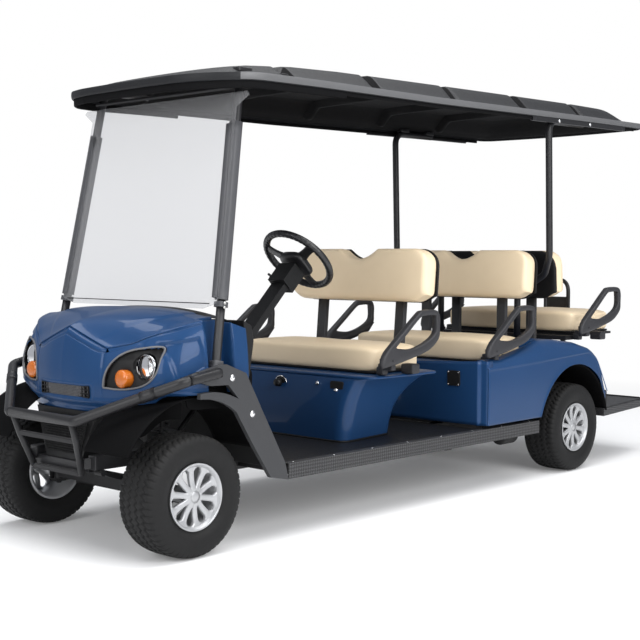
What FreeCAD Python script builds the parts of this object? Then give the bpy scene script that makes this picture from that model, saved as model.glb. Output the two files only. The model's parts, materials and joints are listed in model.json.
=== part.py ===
"""A six-seat stretched golf cart with a rear-facing bench, millimetres.

+X points forward, +Y to the driver's left, +Z up. The origin is on the ground below the
middle of the cart's overall length.
"""
import FreeCAD, Part
import math
import os
import Sketcher

Vector = FreeCAD.Vector

# Driving dimensions. Each one is a cell of the sheet, under the name it has here.
SIZES = {
    # whole cart
    "wheelbase": 2900, "front_overhang": 367, "rear_overhang": 990, "track": 980, "fit_gap": 0.3,
    "running_gap": 5,
    # tyres and wheels
    "tyre_radius": 254, "tyre_width": 215, "tread_width": 172, "bead_radius": 127, "flange_radius": 139,
    "rim_width": 194, "flange_thickness": 7, "barrel_wall": 8, "spoke_depth": 26, "spoke_inset": 14,
    "spoke_count": 10, "window_inner_radius": 50, "window_outer_radius": 112, "hub_radius": 34,
    "hub_inset": 17, "spindle_radius": 15, "spindle_play": 0.05,
    # steering and front axle
    "kingpin_half_track": 370, "kingpin_radius": 12, "kingpin_length": 120, "boss_radius": 20,
    "boss_height": 79, "ear_thickness": 12, "ear_half_width": 26, "arm_length": 110, "arm_width": 24,
    "arm_end_radius": 16, "beam_width": 60, "beam_low": 229, "beam_high": 284, "spring_width": 50,
    "spring_pack": 22, "spring_half": 200, "spring_eye_radius": 14, "tie_rod_radius": 9,
    "tie_end_radius": 13, "tie_end_height": 24, "tie_gap": 0.5,
    # joining laps
    "overlap": 1,
    # rear axle
    "axle_tube_radius": 32, "drum_radius": 95, "drum_width": 30, "diff_radius": 92, "diff_width": 170,
    # frame
    "rail_half_track": 210, "rail_width": 50, "rail_low": 257, "rail_high": 325, "kick_low": 350,
    "kick_high": 410, "kick_front_start": 240, "kick_run": 100, "kick_rear_start": 440,
    "rail_front_reach": 240, "rail_rear_reach": 330, "crossbar_low": 275, "crossbar_high": 315,
    "crossbar_length": 50, "end_bar_height": 38, "tow_plate_thickness": 10, "tow_plate_width": 60,
    "tow_plate_reach": 55, "tow_hole_radius": 10, "tow_sink": 5,
    # floor and rockers
    "floor_top": 333, "floor_wall": 8, "floor_half_width": 559, "floor_front": 420,
    "toe_board_rise": 270, "toe_board_run": 90, "toe_trim_reach": 288, "toe_trim_rise": 108,
    "rocker_inset": 10, "rocker_low": 262, "rocker_depth": 40, "rocker_wall": 5, "rocker_front": 517,
    "rocker_rear": 400,
    # front seat box
    "seat_set_back": 1235, "pod_front": 1110, "pod_length": 480, "pod_low_half_width": 390,
    "pod_top": 664, "pod_top_half_width": 500, "pod_top_front": 1150, "pod_top_length": 500,
    "pod_wall": 6, "ledge_half_width": 535, "ledge_thickness": 22, "ledge_front": 1137,
    "ledge_length": 545, "lid_opening_length": 330, "lid_opening_half_width": 400,
    # seats
    "cushion_length": 370, "cushion_half_width": 465, "cushion_height": 138, "cushion_round": 34,
    "lid_gap": 0.3, "back_thickness": 105, "back_half_width": 470, "back_low": 1012, "back_high": 1278,
    "back_dip": 1225, "back_dip_half_width": 55, "back_corner": 100, "back_tilt": 5, "back_set": 385,
    "back_round": 26, "shell_thickness": 10, "shell_margin": 6, "upright_width": 45,
    "upright_thickness": 10, "upright_half_track": 290, "middle_seat_lead": 750, "rear_bench_rise": 122,
    "rear_bench_set": 150, "rear_cushion_length": 440, "rear_back_set": 62,
    # armrests
    "armrest_lead": 85, "middle_armrest_lead": 140, "rear_armrest_lead": 110, "armrest_inset": 6,
    "armrest_width": 38, "armrest_foot_inner": 478, "armrest_foot_outer": 528, "armrest_foot_front": 20,
    "armrest_foot_length": 130, "armrest_foot_height": 75, "armrest_lap": 10, "armrest_bridge_low": 54,
    # rear body
    "body_half_width": 610, "body_wall": 6, "body_low": 350, "body_front_lead": 930, "body_deck": 664,
    "body_hump": 770, "body_shoulder": 690, "body_rear_top": 438, "body_rear_seat": 743,
    "seat_recess_back": 376, "seat_recess_half_width": 535, "body_rear_reach": 333, "body_step": 60,
    "body_step_width": 75, "arch_radius": 318, "arch_rise": 50, "bay_length": 330,
    "bay_half_width": 400,
    # power unit below the middle seat
    "engine_length": 400, "engine_half_width": 175, "engine_height": 300,
    # rear bench frame, hoop and step
    "bench_plate": 14, "bench_foot": 28, "bench_foot_height": 6, "bench_leg_radius": 16,
    "bench_leg_half_track": 250, "bench_leg_reach": 175, "hoop_half_width": 85, "hoop_radius": 13,
    "hoop_top": 1110, "hoop_reach": 720, "hoop_plate_low": 905, "hoop_plate_high": 985,
    "hoop_plate_thickness": 4, "hoop_bend": 80, "hoop_arm_lap": 20, "hoop_arm_half_width": 110,
    "hoop_arm_thickness": 8, "bench_inset": 10, "tongue_reach": 60, "tongue_depth": 20, "tongue_lap": 5,
    "step_top": 335, "step_thickness": 45, "step_half_width": 505, "step_front_half_width": 595,
    "step_front_reach": 310, "step_corner": 45, "step_ear_height": 105, "step_ear_thickness": 12,
    "step_ear_length": 100,
    # braces, struts and canopy
    "brace_inset": 6, "brace_width": 24, "strut_radius": 19, "strut_foot_x": 125, "strut_foot_z": 758,
    "strut_top_x": 331, "strut_top_z": 1926, "strut_top_half_track": 477, "strut_bend": 70,
    "front_rail_length": 260, "rear_strut_half_track": 556, "rear_strut_set": 250,
    "rear_strut_knee": 1250, "rear_rail_length": 330, "rear_strut_leg_x": 155,
    "rear_strut_leg_half_track": 280, "rear_strut_elbow": 1140, "rear_strut_elbow_half_track": 465,
    "rear_strut_leg_top": 1025, "canopy_low": 1930, "canopy_edge": 1956, "canopy_gutter": 1984,
    "canopy_crown": 2074, "canopy_pitch": 1, "canopy_half_width": 602, "canopy_front": 120,
    "canopy_front_half_width": 380, "canopy_shoulder": 150, "canopy_rear": 3640, "canopy_rear_bow": 60,
    "canopy_wall": 6, "canopy_block_height": 20, "canopy_blocks": 5, "canopy_channel": 70,
    "canopy_rib": 40, "canopy_pad_low": 1976, "canopy_side_slope": 172,
    # windscreen
    "screen_thickness": 5, "screen_low": 1012, "screen_high": 1938, "screen_half_width": 548,
    "screen_top_half_width": 497, "screen_ear_half_width": 570, "screen_low_half_width": 455,
    # front body
    "cowl_wall": 5, "cowl_back": 300, "cowl_low": 585, "cowl_side_low": 662, "cowl_half_width": 575,
    "nose_x": 238, "notch_front": 85, "notch_back": 215, "notch_depth": 62, "lamp_recess": 12,
    "lamp_pocket_depth": 16, "lamp_flange": 8, "lamp_depth": 63, "lamp_dome": 12, "lamp_y": 408, "lamp_z": 780, "lamp_radius": 55,
    "lamp_reach": 162, "indicator_y": 322, "indicator_z": 729, "indicator_radius": 38,
    "indicator_reach": 184, "grille_half_width": 168, "grille_low": 642, "grille_high": 693,
    "grille_bar": 4, "grille_depth": 10, "grille_columns": 15, "grille_rows": 3, "dash_low": 720,
    "dash_high": 962, "dash_half_width": 545, "dash_depth": 62, "fascia_wall": 5, "fascia_low": 375,
    "fascia_top_half_width": 212, "fascia_low_half_width": 125, "fascia_x": 232, "fascia_depth": 110,
    # steering wheel and column
    "wheel_x": 911, "wheel_y": 270, "wheel_z": 1219, "wheel_outer_radius": 189, "wheel_grip_radius": 15,
    "column_tilt": 44.74, "wheel_hub_radius": 42, "column_length": 610, "column_width": 84,
    "column_depth": 34, "shaft_radius": 12, "shaft_length": 1090, "octagon_long": 0.92,
    "octagon_short": 0.38, "wheel_hub_height": 36, "wheel_hub_depth": 42, "wheel_spoke_half_width": 18,
    "wheel_spoke_low": 22, "wheel_spoke_high": 10, "column_start": 60, "column_pod_low": 46,
    "column_pod_high": 40, "column_pod_half_width": 52, "column_pod_end": 130, "column_pod_start": 20,
    "gear_back": 175, "gear_front": 65, "gear_inner": 80, "gear_outer": 30, "gear_height": 70,
    # pedals
    "accelerator_y": 180, "brake_y": 300, "pedal_x": 530, "pedal_foot_half": 30,
    "pedal_foot_half_width": 20, "pedal_foot_height": 14, "pedal_thickness": 10, "pedal_half_width": 40,
    "pedal_height": 130, "pedal_sink": 8, "pedal_tilt": 35,
    # brush guard
    "guard_tube": 22, "guard_leg_tube": 17, "guard_bar_tube": 16, "guard_half_width": 236,
    "guard_z": 563, "guard_end_z": 745, "guard_end_half_width": 601, "guard_bend": 60,
    "guard_mid_x": 313, "guard_mid_half_width": 204, "guard_mid_z": 474, "guard_low_x": 262,
    "guard_low_half_width": 171, "guard_low_z": 330,
}

doc = FreeCAD.newDocument("GolfCart")
sheet = doc.addObject("Spreadsheet::Sheet", "Sizes")
for row, (alias, number) in enumerate(SIZES.items(), start=1):
    sheet.set(f"A{row}", alias)
    sheet.set(f"B{row}", str(number))
    sheet.setAlias(f"B{row}", alias)
doc.recompute()


# Sizes that carry both their number and the expression that binds it
class Size:
    """A number from the sheet, or one worked out from such numbers, with its expression."""

    def __init__(self, value, text):
        self.value = value
        self.text = text

    def __add__(self, other):
        return Size(self.value + value_of(other), f"({self.text} + {text_of(other)})")

    def __sub__(self, other):
        return Size(self.value - value_of(other), f"({self.text} - {text_of(other)})")

    def __mul__(self, other):
        return Size(self.value * value_of(other), f"({self.text} * {text_of(other)})")

    def __truediv__(self, other):
        return Size(self.value / value_of(other), f"({self.text} / {text_of(other)})")

    def __rsub__(self, other):
        return Size(value_of(other) - self.value, f"({text_of(other)} - {self.text})")

    def __neg__(self):
        return Size(-self.value, f"(0 - {self.text})")

    __radd__ = __add__
    __rmul__ = __mul__


def value_of(size):
    """The plain number of a size."""
    return size.value if isinstance(size, Size) else float(size)


def text_of(size):
    """The expression of a size."""
    return size.text if isinstance(size, Size) else repr(float(size))


class SheetSizes:
    """Reads the sheet by alias."""

    def __getattr__(self, alias):
        return Size(float(sheet.get(alias)), f"Sizes.{alias}")


s = SheetSizes()


def bind(piece, name, size):
    """Sets a property to a size and ties it to the sheet."""
    if isinstance(size, Size):
        piece.setExpression(name, size.text)
    else:
        piece.setExpression(name, repr(float(size)))


# Places along the cart
front_axle = (s.wheelbase + s.rear_overhang - s.front_overhang) / 2
rear_axle = front_axle - s.wheelbase
axle_height = s.tyre_radius

# How far out the side pieces reach
armrest_outer = s.body_half_width - s.armrest_inset
brace_outer = s.body_half_width - s.brace_inset
rocker_outer = s.body_half_width - s.rocker_inset

NODES = {}


def keep(name, piece):
    """Marks a finished object as a sub-part under its own name."""
    piece.Label = name
    NODES[name] = piece
    return piece


# Part primitives and booleans
def place(piece, x=0, y=0, z=0, axis=None, angle=0):
    """Puts an object's own origin at a place, turned about an axis by degrees."""
    if axis is not None:
        piece.Placement = FreeCAD.Placement(Vector(), FreeCAD.Rotation(Vector(*axis), value_of(angle)))
    bind(piece, "Placement.Base.x", x)
    bind(piece, "Placement.Base.y", y)
    bind(piece, "Placement.Base.z", z)
    return piece


def box(name, x, y, z):
    """A block between a low and a high coordinate along each axis."""
    block = doc.addObject("Part::Box", name)
    bind(block, "Length", x[1] - x[0])
    bind(block, "Width", y[1] - y[0])
    bind(block, "Height", z[1] - z[0])
    return place(block, x[0], y[0], z[0])


TURNS = {"x": ((0, 1, 0), 90), "y": ((1, 0, 0), -90), "z": (None, 0)}


def rod(name, radius, length, x, y, z, along="z"):
    """A round bar that starts at a point and runs along an axis."""
    bar = doc.addObject("Part::Cylinder", name)
    bind(bar, "Radius", radius)
    bind(bar, "Height", length)
    axis, angle = TURNS[along]
    return place(bar, x, y, z, axis, angle)


def fuse(name, pieces):
    """Joins pieces; those that do not touch stay separate solids of one sub-part."""
    joined = doc.addObject("Part::MultiFuse", name)
    joined.Shapes = pieces
    return joined


def cut(name, base, tool):
    """Takes a tool out of a base."""
    result = doc.addObject("Part::Cut", name)
    result.Base = base
    result.Tool = tool
    return result


def mirror(name, source):
    """The same piece on the other side of the cart."""
    other = doc.addObject("Part::Mirroring", name)
    other.Source = source
    other.Normal = Vector(0, 1, 0)
    return other


def pair(name, left):
    """A piece and its mirror image as one sub-part."""
    return keep(name, fuse(name, [left, mirror(f"{name}_right", left)]))


# PartDesign bodies
def new_body(name):
    """An empty body."""
    return doc.addObject("PartDesign::Body", name)


def origin_plane(body, role):
    """One of a body's own origin planes."""
    return next(item for item in body.Origin.OriginFeatures if item.Role == role)


def draw(body, plane, name, outline, offset=0):
    """A closed sketch; an outline entry is a corner (u, v), or an arc's end (u, v, via u, via v)."""
    sketch = body.newObject("Sketcher::SketchObject", name)
    sketch.AttachmentSupport = [(origin_plane(body, plane), "")]
    sketch.MapMode = "FlatFace"
    bind(sketch, "AttachmentOffset.Base.z", offset)
    count = len(outline)
    spots = [Vector(value_of(entry[0]), value_of(entry[1]), 0) for entry in outline]
    for index, entry in enumerate(outline):
        start = spots[index - 1]
        if len(entry) == 2:
            sketch.addGeometry(Part.LineSegment(start, spots[index]), False)
        else:
            via = Vector(value_of(entry[2]), value_of(entry[3]), 0)
            if (via - start).cross(spots[index] - via).z > 0:
                sketch.addGeometry(Part.Arc(start, via, spots[index]), False)
            else:
                sketch.addGeometry(Part.Arc(spots[index], via, start), False)
    ends = [end_points(sketch, index, spots[index - 1]) for index in range(count)]
    for index in range(count):
        following = (index + 1) % count
        join = Sketcher.Constraint("Coincident", index, ends[index][1], following, ends[following][0])
        sketch.addConstraint(join)
    for index, entry in enumerate(outline):
        pin_point(sketch, index, ends[index][1], entry[0], entry[1])
        if len(entry) > 2:
            via = Vector(value_of(entry[2]), value_of(entry[3]), 0)
            mark = sketch.addGeometry(Part.Point(via), True)
            sketch.addConstraint(Sketcher.Constraint("PointOnObject", mark, 1, index))
            pin_point(sketch, mark, 1, entry[2], entry[3])
    return sketch


def end_points(sketch, index, start):
    """Which of a line's or an arc's two ends comes first and which last along the outline."""
    if (sketch.Geometry[index].StartPoint - start).Length < 1e-6:
        return 1, 2
    return 2, 1


def pin_point(sketch, geometry, end, across, up):
    """Ties a point of a sketch to the sheet."""
    for kind, size in (("DistanceX", across), ("DistanceY", up)):
        number = sketch.addConstraint(
            Sketcher.Constraint(kind, -1, 1, geometry, end, value_of(size)))
        bind(sketch, f"Constraints[{number}]", size)


SPREADS = {"XY_Plane": 1, "XZ_Plane": -1, "YZ_Plane": 1}


def pad(body, plane, name, outline, low, high):
    """Fills an outline between two heights over its plane."""
    way = SPREADS[plane]
    sketch = draw(body, plane, f"{name}_outline", outline, way * low)
    solid = body.newObject("PartDesign::Pad", name)
    solid.Profile = sketch
    bind(solid, "Length", high - low)
    solid.Reversed = way < 0
    return solid


def pocket(body, plane, name, outline):
    """Cuts an outline right through a body."""
    sketch = draw(body, plane, f"{name}_outline", outline)
    hollow = body.newObject("PartDesign::Pocket", name)
    hollow.Profile = sketch
    hollow.Type = "ThroughAll"
    hollow.SideType = "Symmetric"
    return hollow


def revolve(body, plane, name, outline, axis):
    """Turns an outline about one of its sketch's axes, "H_Axis" or "V_Axis"."""
    sketch = draw(body, plane, f"{name}_outline", outline)
    solid = body.newObject("PartDesign::Revolution", name)
    solid.Profile = sketch
    solid.ReferenceAxis = (sketch, [axis])
    return solid


def fillet(body, feature, name, radius, chosen):
    """Rounds the edges of a feature that a test picks."""
    doc.recompute()
    edges = [f"Edge{number}" for number, edge in enumerate(feature.Shape.Edges, start=1) if chosen(edge)]
    rounded = body.newObject("PartDesign::Fillet", name)
    rounded.Base = (feature, edges)
    bind(rounded, "Radius", radius)
    return rounded


def chamfer(body, feature, name, size, chosen):
    """Bevels the edges of a feature that a test picks."""
    doc.recompute()
    edges = [f"Edge{number}" for number, edge in enumerate(feature.Shape.Edges, start=1) if chosen(edge)]
    bevelled = body.newObject("PartDesign::Chamfer", name)
    bevelled.Base = (feature, edges)
    bind(bevelled, "Size", size)
    return bevelled


def runs_along(axis):
    """Picks straight edges along an axis."""
    def test(edge):
        line = edge.Vertexes[-1].Point - edge.Vertexes[0].Point
        return line.Length > 1 and abs(abs(line.normalize()[axis]) - 1) < 1e-6
    return test


# How many flats a bent tube's section has
TUBE_FLATS = 8


def tube_section(centre, heading, radius):
    """A tube's section as a polygon round its circle, with a flat to each side of the cart."""
    across = Vector(0, 1, 0)
    across = (across - heading * across.dot(heading)).normalize()
    up = heading.cross(across)
    reach = radius / math.cos(math.pi / TUBE_FLATS)
    corners = []
    for index in range(TUBE_FLATS):
        angle = (2 * index + 1) * math.pi / TUBE_FLATS
        corners.append(centre + across * (reach * math.cos(angle)) + up * (reach * math.sin(angle)))
    return Part.makePolygon(corners + corners[:1])


# Shapes from curves in space
def tube_shape(points, radius, bend):
    """A tube along straight runs joined by tangent arcs of one bend radius."""
    spots = [Vector(*[value_of(number) for number in point]) for point in points]
    radius = value_of(radius)
    edges = []
    start = spots[0]
    for before, corner, after in zip(spots, spots[1:], spots[2:]):
        arrive = (corner - before).normalize()
        leave = (after - corner).normalize()
        turn = arrive.getAngle(leave)
        back = value_of(bend) * math.tan(turn / 2)
        first = corner - arrive * back
        last = corner + leave * back
        inward = (leave - arrive).normalize()
        middle = corner + inward * (value_of(bend) / math.cos(turn / 2) - value_of(bend))
        edges.append(Part.makeLine(start, first))
        edges.append(Part.Arc(first, middle, last).toShape())
        start = last
    edges.append(Part.makeLine(start, spots[-1]))
    path = Part.Wire(edges)
    heading = (spots[1] - spots[0]).normalize()
    return path.makePipeShell([tube_section(spots[0], heading, radius)], True, False)


def shape_node(name, shape):
    """A sub-part whose shape is worked out from curves."""
    piece = doc.addObject("Part::Feature", name)
    piece.Shape = shape
    return keep(name, piece)


def block_shape(x, y, z):
    """A block between a low and a high coordinate along each axis, as a shape."""
    low = Vector(value_of(x[0]), value_of(y[0]), value_of(z[0]))
    high = Vector(value_of(x[1]), value_of(y[1]), value_of(z[1]))
    return Part.makeBox(high.x - low.x, high.y - low.y, high.z - low.z, low)


def mirrored(shape):
    """A shape on the other side of the cart."""
    return shape.mirror(Vector(0, 0, 0), Vector(0, 1, 0))


# Tyres and wheels
def tyre(name, x, side):
    """A low turf tyre, turned about its own axle line."""
    body = new_body(f"{name}_body")
    half = s.tyre_width / 2
    bead = s.rim_width / 2 - s.flange_thickness - s.fit_gap
    tread = s.tread_width / 2
    seat = s.bead_radius
    lip = s.flange_radius + s.fit_gap
    side_radius = (s.tyre_radius + s.flange_radius) / 2
    outline = [
        (bead, seat), (bead, lip), (half, side_radius), (tread, s.tyre_radius), (-tread, s.tyre_radius),
        (-half, side_radius), (-bead, lip), (-bead, seat),
    ]
    revolve(body, "YZ_Plane", f"{name}_turn", outline, "H_Axis")
    place(body, x, side * s.track / 2, axle_height)
    return keep(name, body)


def wheel(name, x, side):
    """An alloy wheel: barrel with two flanges, spoked disc and hub, its face to the outside."""
    body = new_body(f"{name}_body")
    half = s.rim_width / 2
    face = half - s.spoke_inset
    back = face - s.spoke_depth
    barrel = s.bead_radius - s.fit_gap
    inside = barrel - s.barrel_wall
    bore = s.spindle_radius + s.spindle_play
    hub_back = -half + s.hub_inset
    outline = [
        (-half, inside), (back, inside), (back, s.hub_radius), (hub_back, s.hub_radius),
        (hub_back, bore), (face - s.spoke_depth / 2, bore), (face - s.spoke_depth / 2, 0), (face, 0),
        (face, inside), (half, inside), (half, s.flange_radius), (half - s.flange_thickness, s.flange_radius),
        (half - s.flange_thickness, barrel), (-half + s.flange_thickness, barrel),
        (-half + s.flange_thickness, s.flange_radius), (-half, s.flange_radius),
    ]
    revolve(body, "YZ_Plane", f"{name}_turn", outline, "H_Axis")
    step = 2 * math.pi / float(SIZES["spoke_count"])
    inner_half = s.window_inner_radius * math.tan(0.2 * step)
    outer_half = s.window_outer_radius * math.tan(0.34 * step)
    window = pocket(body, "XZ_Plane", f"{name}_window", [
        (-inner_half, s.window_inner_radius), (inner_half, s.window_inner_radius),
        (outer_half, s.window_outer_radius), (-outer_half, s.window_outer_radius)])
    doc.recompute()
    ring = body.newObject("PartDesign::PolarPattern", f"{name}_windows")
    ring.Originals = [window]
    ring.Axis = (next(item for item in body.Origin.OriginFeatures if item.Role == "Y_Axis"), [""])
    ring.Angle = 360
    bind(ring, "Occurrences", s.spoke_count)
    body.Tip = ring
    place(body, x, side * s.track / 2, axle_height, (0, 0, 1), 0 if side > 0 else 180)
    return keep(name, body)


def wheels():
    """The four wheels and their tyres."""
    for end, x in (("front", front_axle), ("rear", rear_axle)):
        for hand, side in (("left", 1), ("right", -1)):
            tyre(f"{end}_{hand}_tyre", x, side)
            wheel(f"{end}_{hand}_wheel", x, side)


# Steering knuckles, tie rod and front axle
def knuckle(name, side):
    """A yoke round the beam's boss, with the kingpin, the wheel's spindle and the steering arm."""
    pin_y = s.kingpin_half_track
    ear = s.boss_height / 2 + s.tie_gap
    top = ear + s.ear_thickness
    web_in = pin_y + s.boss_radius + 3
    web_out = web_in + s.ear_thickness
    across = (front_axle - s.ear_half_width, front_axle + s.ear_half_width)
    span = (pin_y - s.boss_radius, web_out)
    spindle_length = s.track / 2 + s.rim_width / 2 - s.spoke_inset - s.spoke_depth / 2 - 1 - web_in
    arm_x = front_axle - s.arm_length
    arm_low = axle_height - top
    pieces = [
        box(f"{name}_upper_ear", across, span, (axle_height + ear, axle_height + top)),
        box(f"{name}_lower_ear", across, span, (axle_height - top, axle_height - ear)),
        box(f"{name}_web", across, (web_in, web_out), (axle_height - top, axle_height + top)),
        rod(f"{name}_kingpin", s.kingpin_radius, s.kingpin_length, front_axle, pin_y,
            axle_height - s.kingpin_length / 2),
        rod(f"{name}_spindle", s.spindle_radius, spindle_length, front_axle, web_in, axle_height, "y"),
        box(f"{name}_arm", (arm_x, front_axle), (pin_y - s.arm_width / 2, pin_y + s.arm_width / 2),
            (arm_low, arm_low + s.ear_thickness)),
        rod(f"{name}_arm_end", s.arm_end_radius, s.ear_thickness, arm_x, pin_y, arm_low),
    ]
    left = fuse(f"{name}_joined", pieces)
    return keep(name, left if side > 0 else mirror(f"{name}_other", left))


def tie_rod():
    """The rod across the cart between the two steering arms, with its ball ends."""
    arm_low = axle_height - s.boss_height / 2 - s.tie_gap - s.ear_thickness
    end_top = arm_low - s.tie_gap
    x = front_axle - s.arm_length
    reach = s.kingpin_half_track
    pieces = [rod("tie_bar", s.tie_rod_radius, 2 * reach, x, -reach, end_top - s.tie_end_height / 2, "y")]
    for hand, y in (("left", reach), ("right", -reach)):
        pieces.append(rod(f"tie_end_{hand}", s.tie_end_radius, s.tie_end_height, x, y,
                          end_top - s.tie_end_height))
    keep("tie_rod", fuse("tie_rod_joined", pieces))


def leaf_spring(name, x, seat_z):
    """One leaf spring below a rail: a bowed pack with an eye at each end that touches the rail."""
    body = new_body(f"{name}_body")
    eye_z = s.kick_low - s.spring_eye_radius
    thick = s.spring_pack
    outline = [
        (-s.spring_half, eye_z - seat_z - thick / 3),
        (s.spring_half, eye_z - seat_z - thick / 3, 0, 0),
        (s.spring_half, eye_z - seat_z + thick / 3),
        (-s.spring_half, eye_z - seat_z + thick / 3, 0, thick),
    ]
    low = s.rail_half_track - s.spring_width / 2
    pad(body, "XZ_Plane", f"{name}_pack", outline, low, low + s.spring_width)
    place(body, x, 0, seat_z)
    eyes = [rod(f"{name}_eye_{index}", s.spring_eye_radius, s.spring_width, x + way * s.spring_half, low,
                eye_z, "y") for index, way in enumerate((1, -1))]
    return fuse(f"{name}_left", [body] + eyes)


def front_axle_beam():
    """The beam with its kingpin bosses, on two leaf springs."""
    reach = s.kingpin_half_track
    beam = box("beam", (front_axle - s.beam_width / 2, front_axle + s.beam_width / 2),
               (-reach, reach), (s.beam_low, s.beam_high))
    yoke_room = s.boss_radius + 12
    cut_beam = beam
    bosses = []
    for hand, way in (("left", 1), ("right", -1)):
        y = way * reach
        room = box(f"beam_room_{hand}", (front_axle - s.beam_width, front_axle + s.beam_width),
                   (y - yoke_room, y + yoke_room), (s.beam_low - 10, s.beam_high + 10))
        cut_beam = cut(f"beam_cut_{hand}", cut_beam, room)
        inboard = reach - yoke_room if way > 0 else -reach
        neck = box(f"beam_neck_{hand}", (front_axle - s.boss_radius / 2, front_axle + s.boss_radius / 2),
                   (inboard, inboard + yoke_room), (s.beam_low + 10, s.beam_high - 5))
        boss = rod(f"boss_{hand}", s.boss_radius, s.boss_height, front_axle, y,
                   axle_height - s.boss_height / 2)
        bosses += [neck, boss]
    spring = leaf_spring("front_spring", front_axle, s.beam_high)
    whole = fuse("front_axle_solid", [cut_beam] + bosses + [spring, mirror("front_spring_right", spring)])
    bores = [rod(f"king_bore_{hand}", s.kingpin_radius + s.spindle_play, s.kingpin_length, front_axle, y,
                 axle_height - s.kingpin_length / 2) for hand, y in (("left", reach), ("right", -reach))]
    keep("front_axle", cut("front_axle_bored", whole, fuse("king_bores", bores)))


def rear_axle_tube():
    """The drive axle: tube, differential, brake drums and spindles, on two leaf springs."""
    wheel_in = s.track / 2 - s.rim_width / 2 + s.hub_inset
    drum_out = wheel_in - s.running_gap
    drum_in = drum_out - s.drum_width
    tip = s.track / 2 + s.rim_width / 2 - s.spoke_inset - s.spoke_depth / 2 - 1
    left = [
        rod("axle_tube", s.axle_tube_radius, drum_in + s.drum_width / 2, rear_axle, 0, axle_height, "y"),
        rod("brake_drum", s.drum_radius, s.drum_width, rear_axle, drum_in, axle_height, "y"),
        rod("rear_spindle", s.spindle_radius, tip - drum_in, rear_axle, drum_in, axle_height, "y"),
        leaf_spring("rear_spring", rear_axle, axle_height + s.axle_tube_radius - 2),
    ]
    half = fuse("rear_axle_half", left)
    diff = rod("differential", s.diff_radius, s.diff_width, rear_axle, -s.diff_width / 2, axle_height, "y")
    keep("rear_axle", fuse("rear_axle_joined", [half, mirror("rear_axle_other_half", half), diff]))


# Frame, floor and rockers
def frame():
    """Two rails that rise over the axles, crossbars that carry the rockers, and two tow eyes."""
    half = s.rail_width / 2
    low, high = s.rail_half_track - half, s.rail_half_track + half
    nose = front_axle + s.rail_front_reach
    tail = rear_axle - s.rail_rear_reach
    drop = front_axle - s.kick_front_start
    rise = rear_axle + s.kick_rear_start
    body = new_body("rail_body")
    pad(body, "XZ_Plane", "rail", [
        (nose, s.kick_low), (nose, s.kick_high), (drop - s.kick_run / 2, s.kick_high),
        (drop - 1.5 * s.kick_run, s.rail_high), (rise + s.kick_run / 2, s.rail_high),
        (rise - s.kick_run / 2, s.kick_high), (tail, s.kick_high), (tail, s.kick_low),
        (rise - s.kick_run, s.kick_low), (rise, s.rail_low), (drop - s.kick_run, s.rail_low),
        (drop, s.kick_low)], low, high)
    outrigger = rocker_outer - s.rocker_wall - s.fit_gap
    bars = []
    span = s.wheelbase - s.rocker_front - s.rocker_rear
    for index, share in enumerate((0.03, 0.36, 0.68, 0.96)):
        x = front_axle - s.rocker_front - span * share
        bars.append(box(f"outrigger_{index}", (x - s.crossbar_length / 2, x + s.crossbar_length / 2),
                        (-outrigger, outrigger), (s.crossbar_low, s.crossbar_high)))
    front_bar_low = s.fascia_low - s.fit_gap - s.end_bar_height
    rear_bar_low = s.kick_low + 5
    for end, x, bottom in (("front", nose - s.crossbar_length, front_bar_low), ("rear", tail, rear_bar_low)):
        bars.append(box(f"{end}_crossbar", (x, x + s.crossbar_length), (-low, low),
                        (bottom, bottom + s.end_bar_height)))
    eyes, holes = [], []
    for end, face, way, low_z in (("front", nose - s.crossbar_length, -1, front_bar_low),
                                  ("rear", tail + s.crossbar_length, 1, rear_bar_low)):
        reach = (face - s.tow_plate_reach, face + s.tow_sink) if way < 0 else \
            (face - s.tow_sink, face + s.tow_plate_reach)
        eyes.append(box(f"{end}_tow_plate", reach, (-s.tow_plate_width / 2, s.tow_plate_width / 2),
                        (low_z, low_z + s.tow_plate_thickness)))
        holes.append(rod(f"{end}_tow_hole", s.tow_hole_radius, 3 * s.tow_plate_thickness,
                         face + way * s.tow_plate_reach / 2, 0, low_z - s.tow_plate_thickness))
    whole = fuse("frame_solid", [body, mirror("rail_right", body)] + bars + eyes)
    keep("frame_rails", cut("frame_pierced", whole, fuse("tow_holes", holes)))


def floor():
    """The floor plate with the toe board that rises at its front."""
    body = new_body("floor_body")
    front = front_axle - s.floor_front
    back = rear_axle + s.body_front_lead - 2 * s.fit_gap
    under = s.floor_top - s.floor_wall
    top = s.floor_top + s.toe_board_rise
    lean = s.toe_board_run
    pad(body, "XZ_Plane", "floor_plate", [
        (back, under), (front, under), (front + lean, top), (front + lean - s.floor_wall, top),
        (front - s.floor_wall, s.floor_top), (back, s.floor_top)],
        -s.floor_half_width, s.floor_half_width)
    trim = box("toe_trim", (front - s.overlap / 2, front + 2 * lean),
               (s.rail_half_track + s.toe_trim_reach, s.body_half_width),
               (s.floor_top + s.toe_trim_rise, top + s.overlap))
    keep("floor", cut("floor_trimmed", body, fuse("toe_trims", [trim, mirror("toe_trim_right", trim)])))


def rocker():
    """The tread-faced side sill, a channel over the ends of the outriggers."""
    body = new_body("rocker_body")
    outer, inner = rocker_outer, rocker_outer - s.rocker_depth
    wall = s.rocker_wall
    top = s.floor_top
    pad(body, "YZ_Plane", "rocker_channel", [
        (inner, top), (outer, top), (outer, s.rocker_low), (inner, s.rocker_low),
        (inner, s.rocker_low + wall), (outer - wall, s.rocker_low + wall), (outer - wall, top - wall),
        (inner, top - wall)],
        rear_axle + s.rocker_rear, front_axle - s.rocker_front)
    pair("rocker_panels", body)


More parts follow.
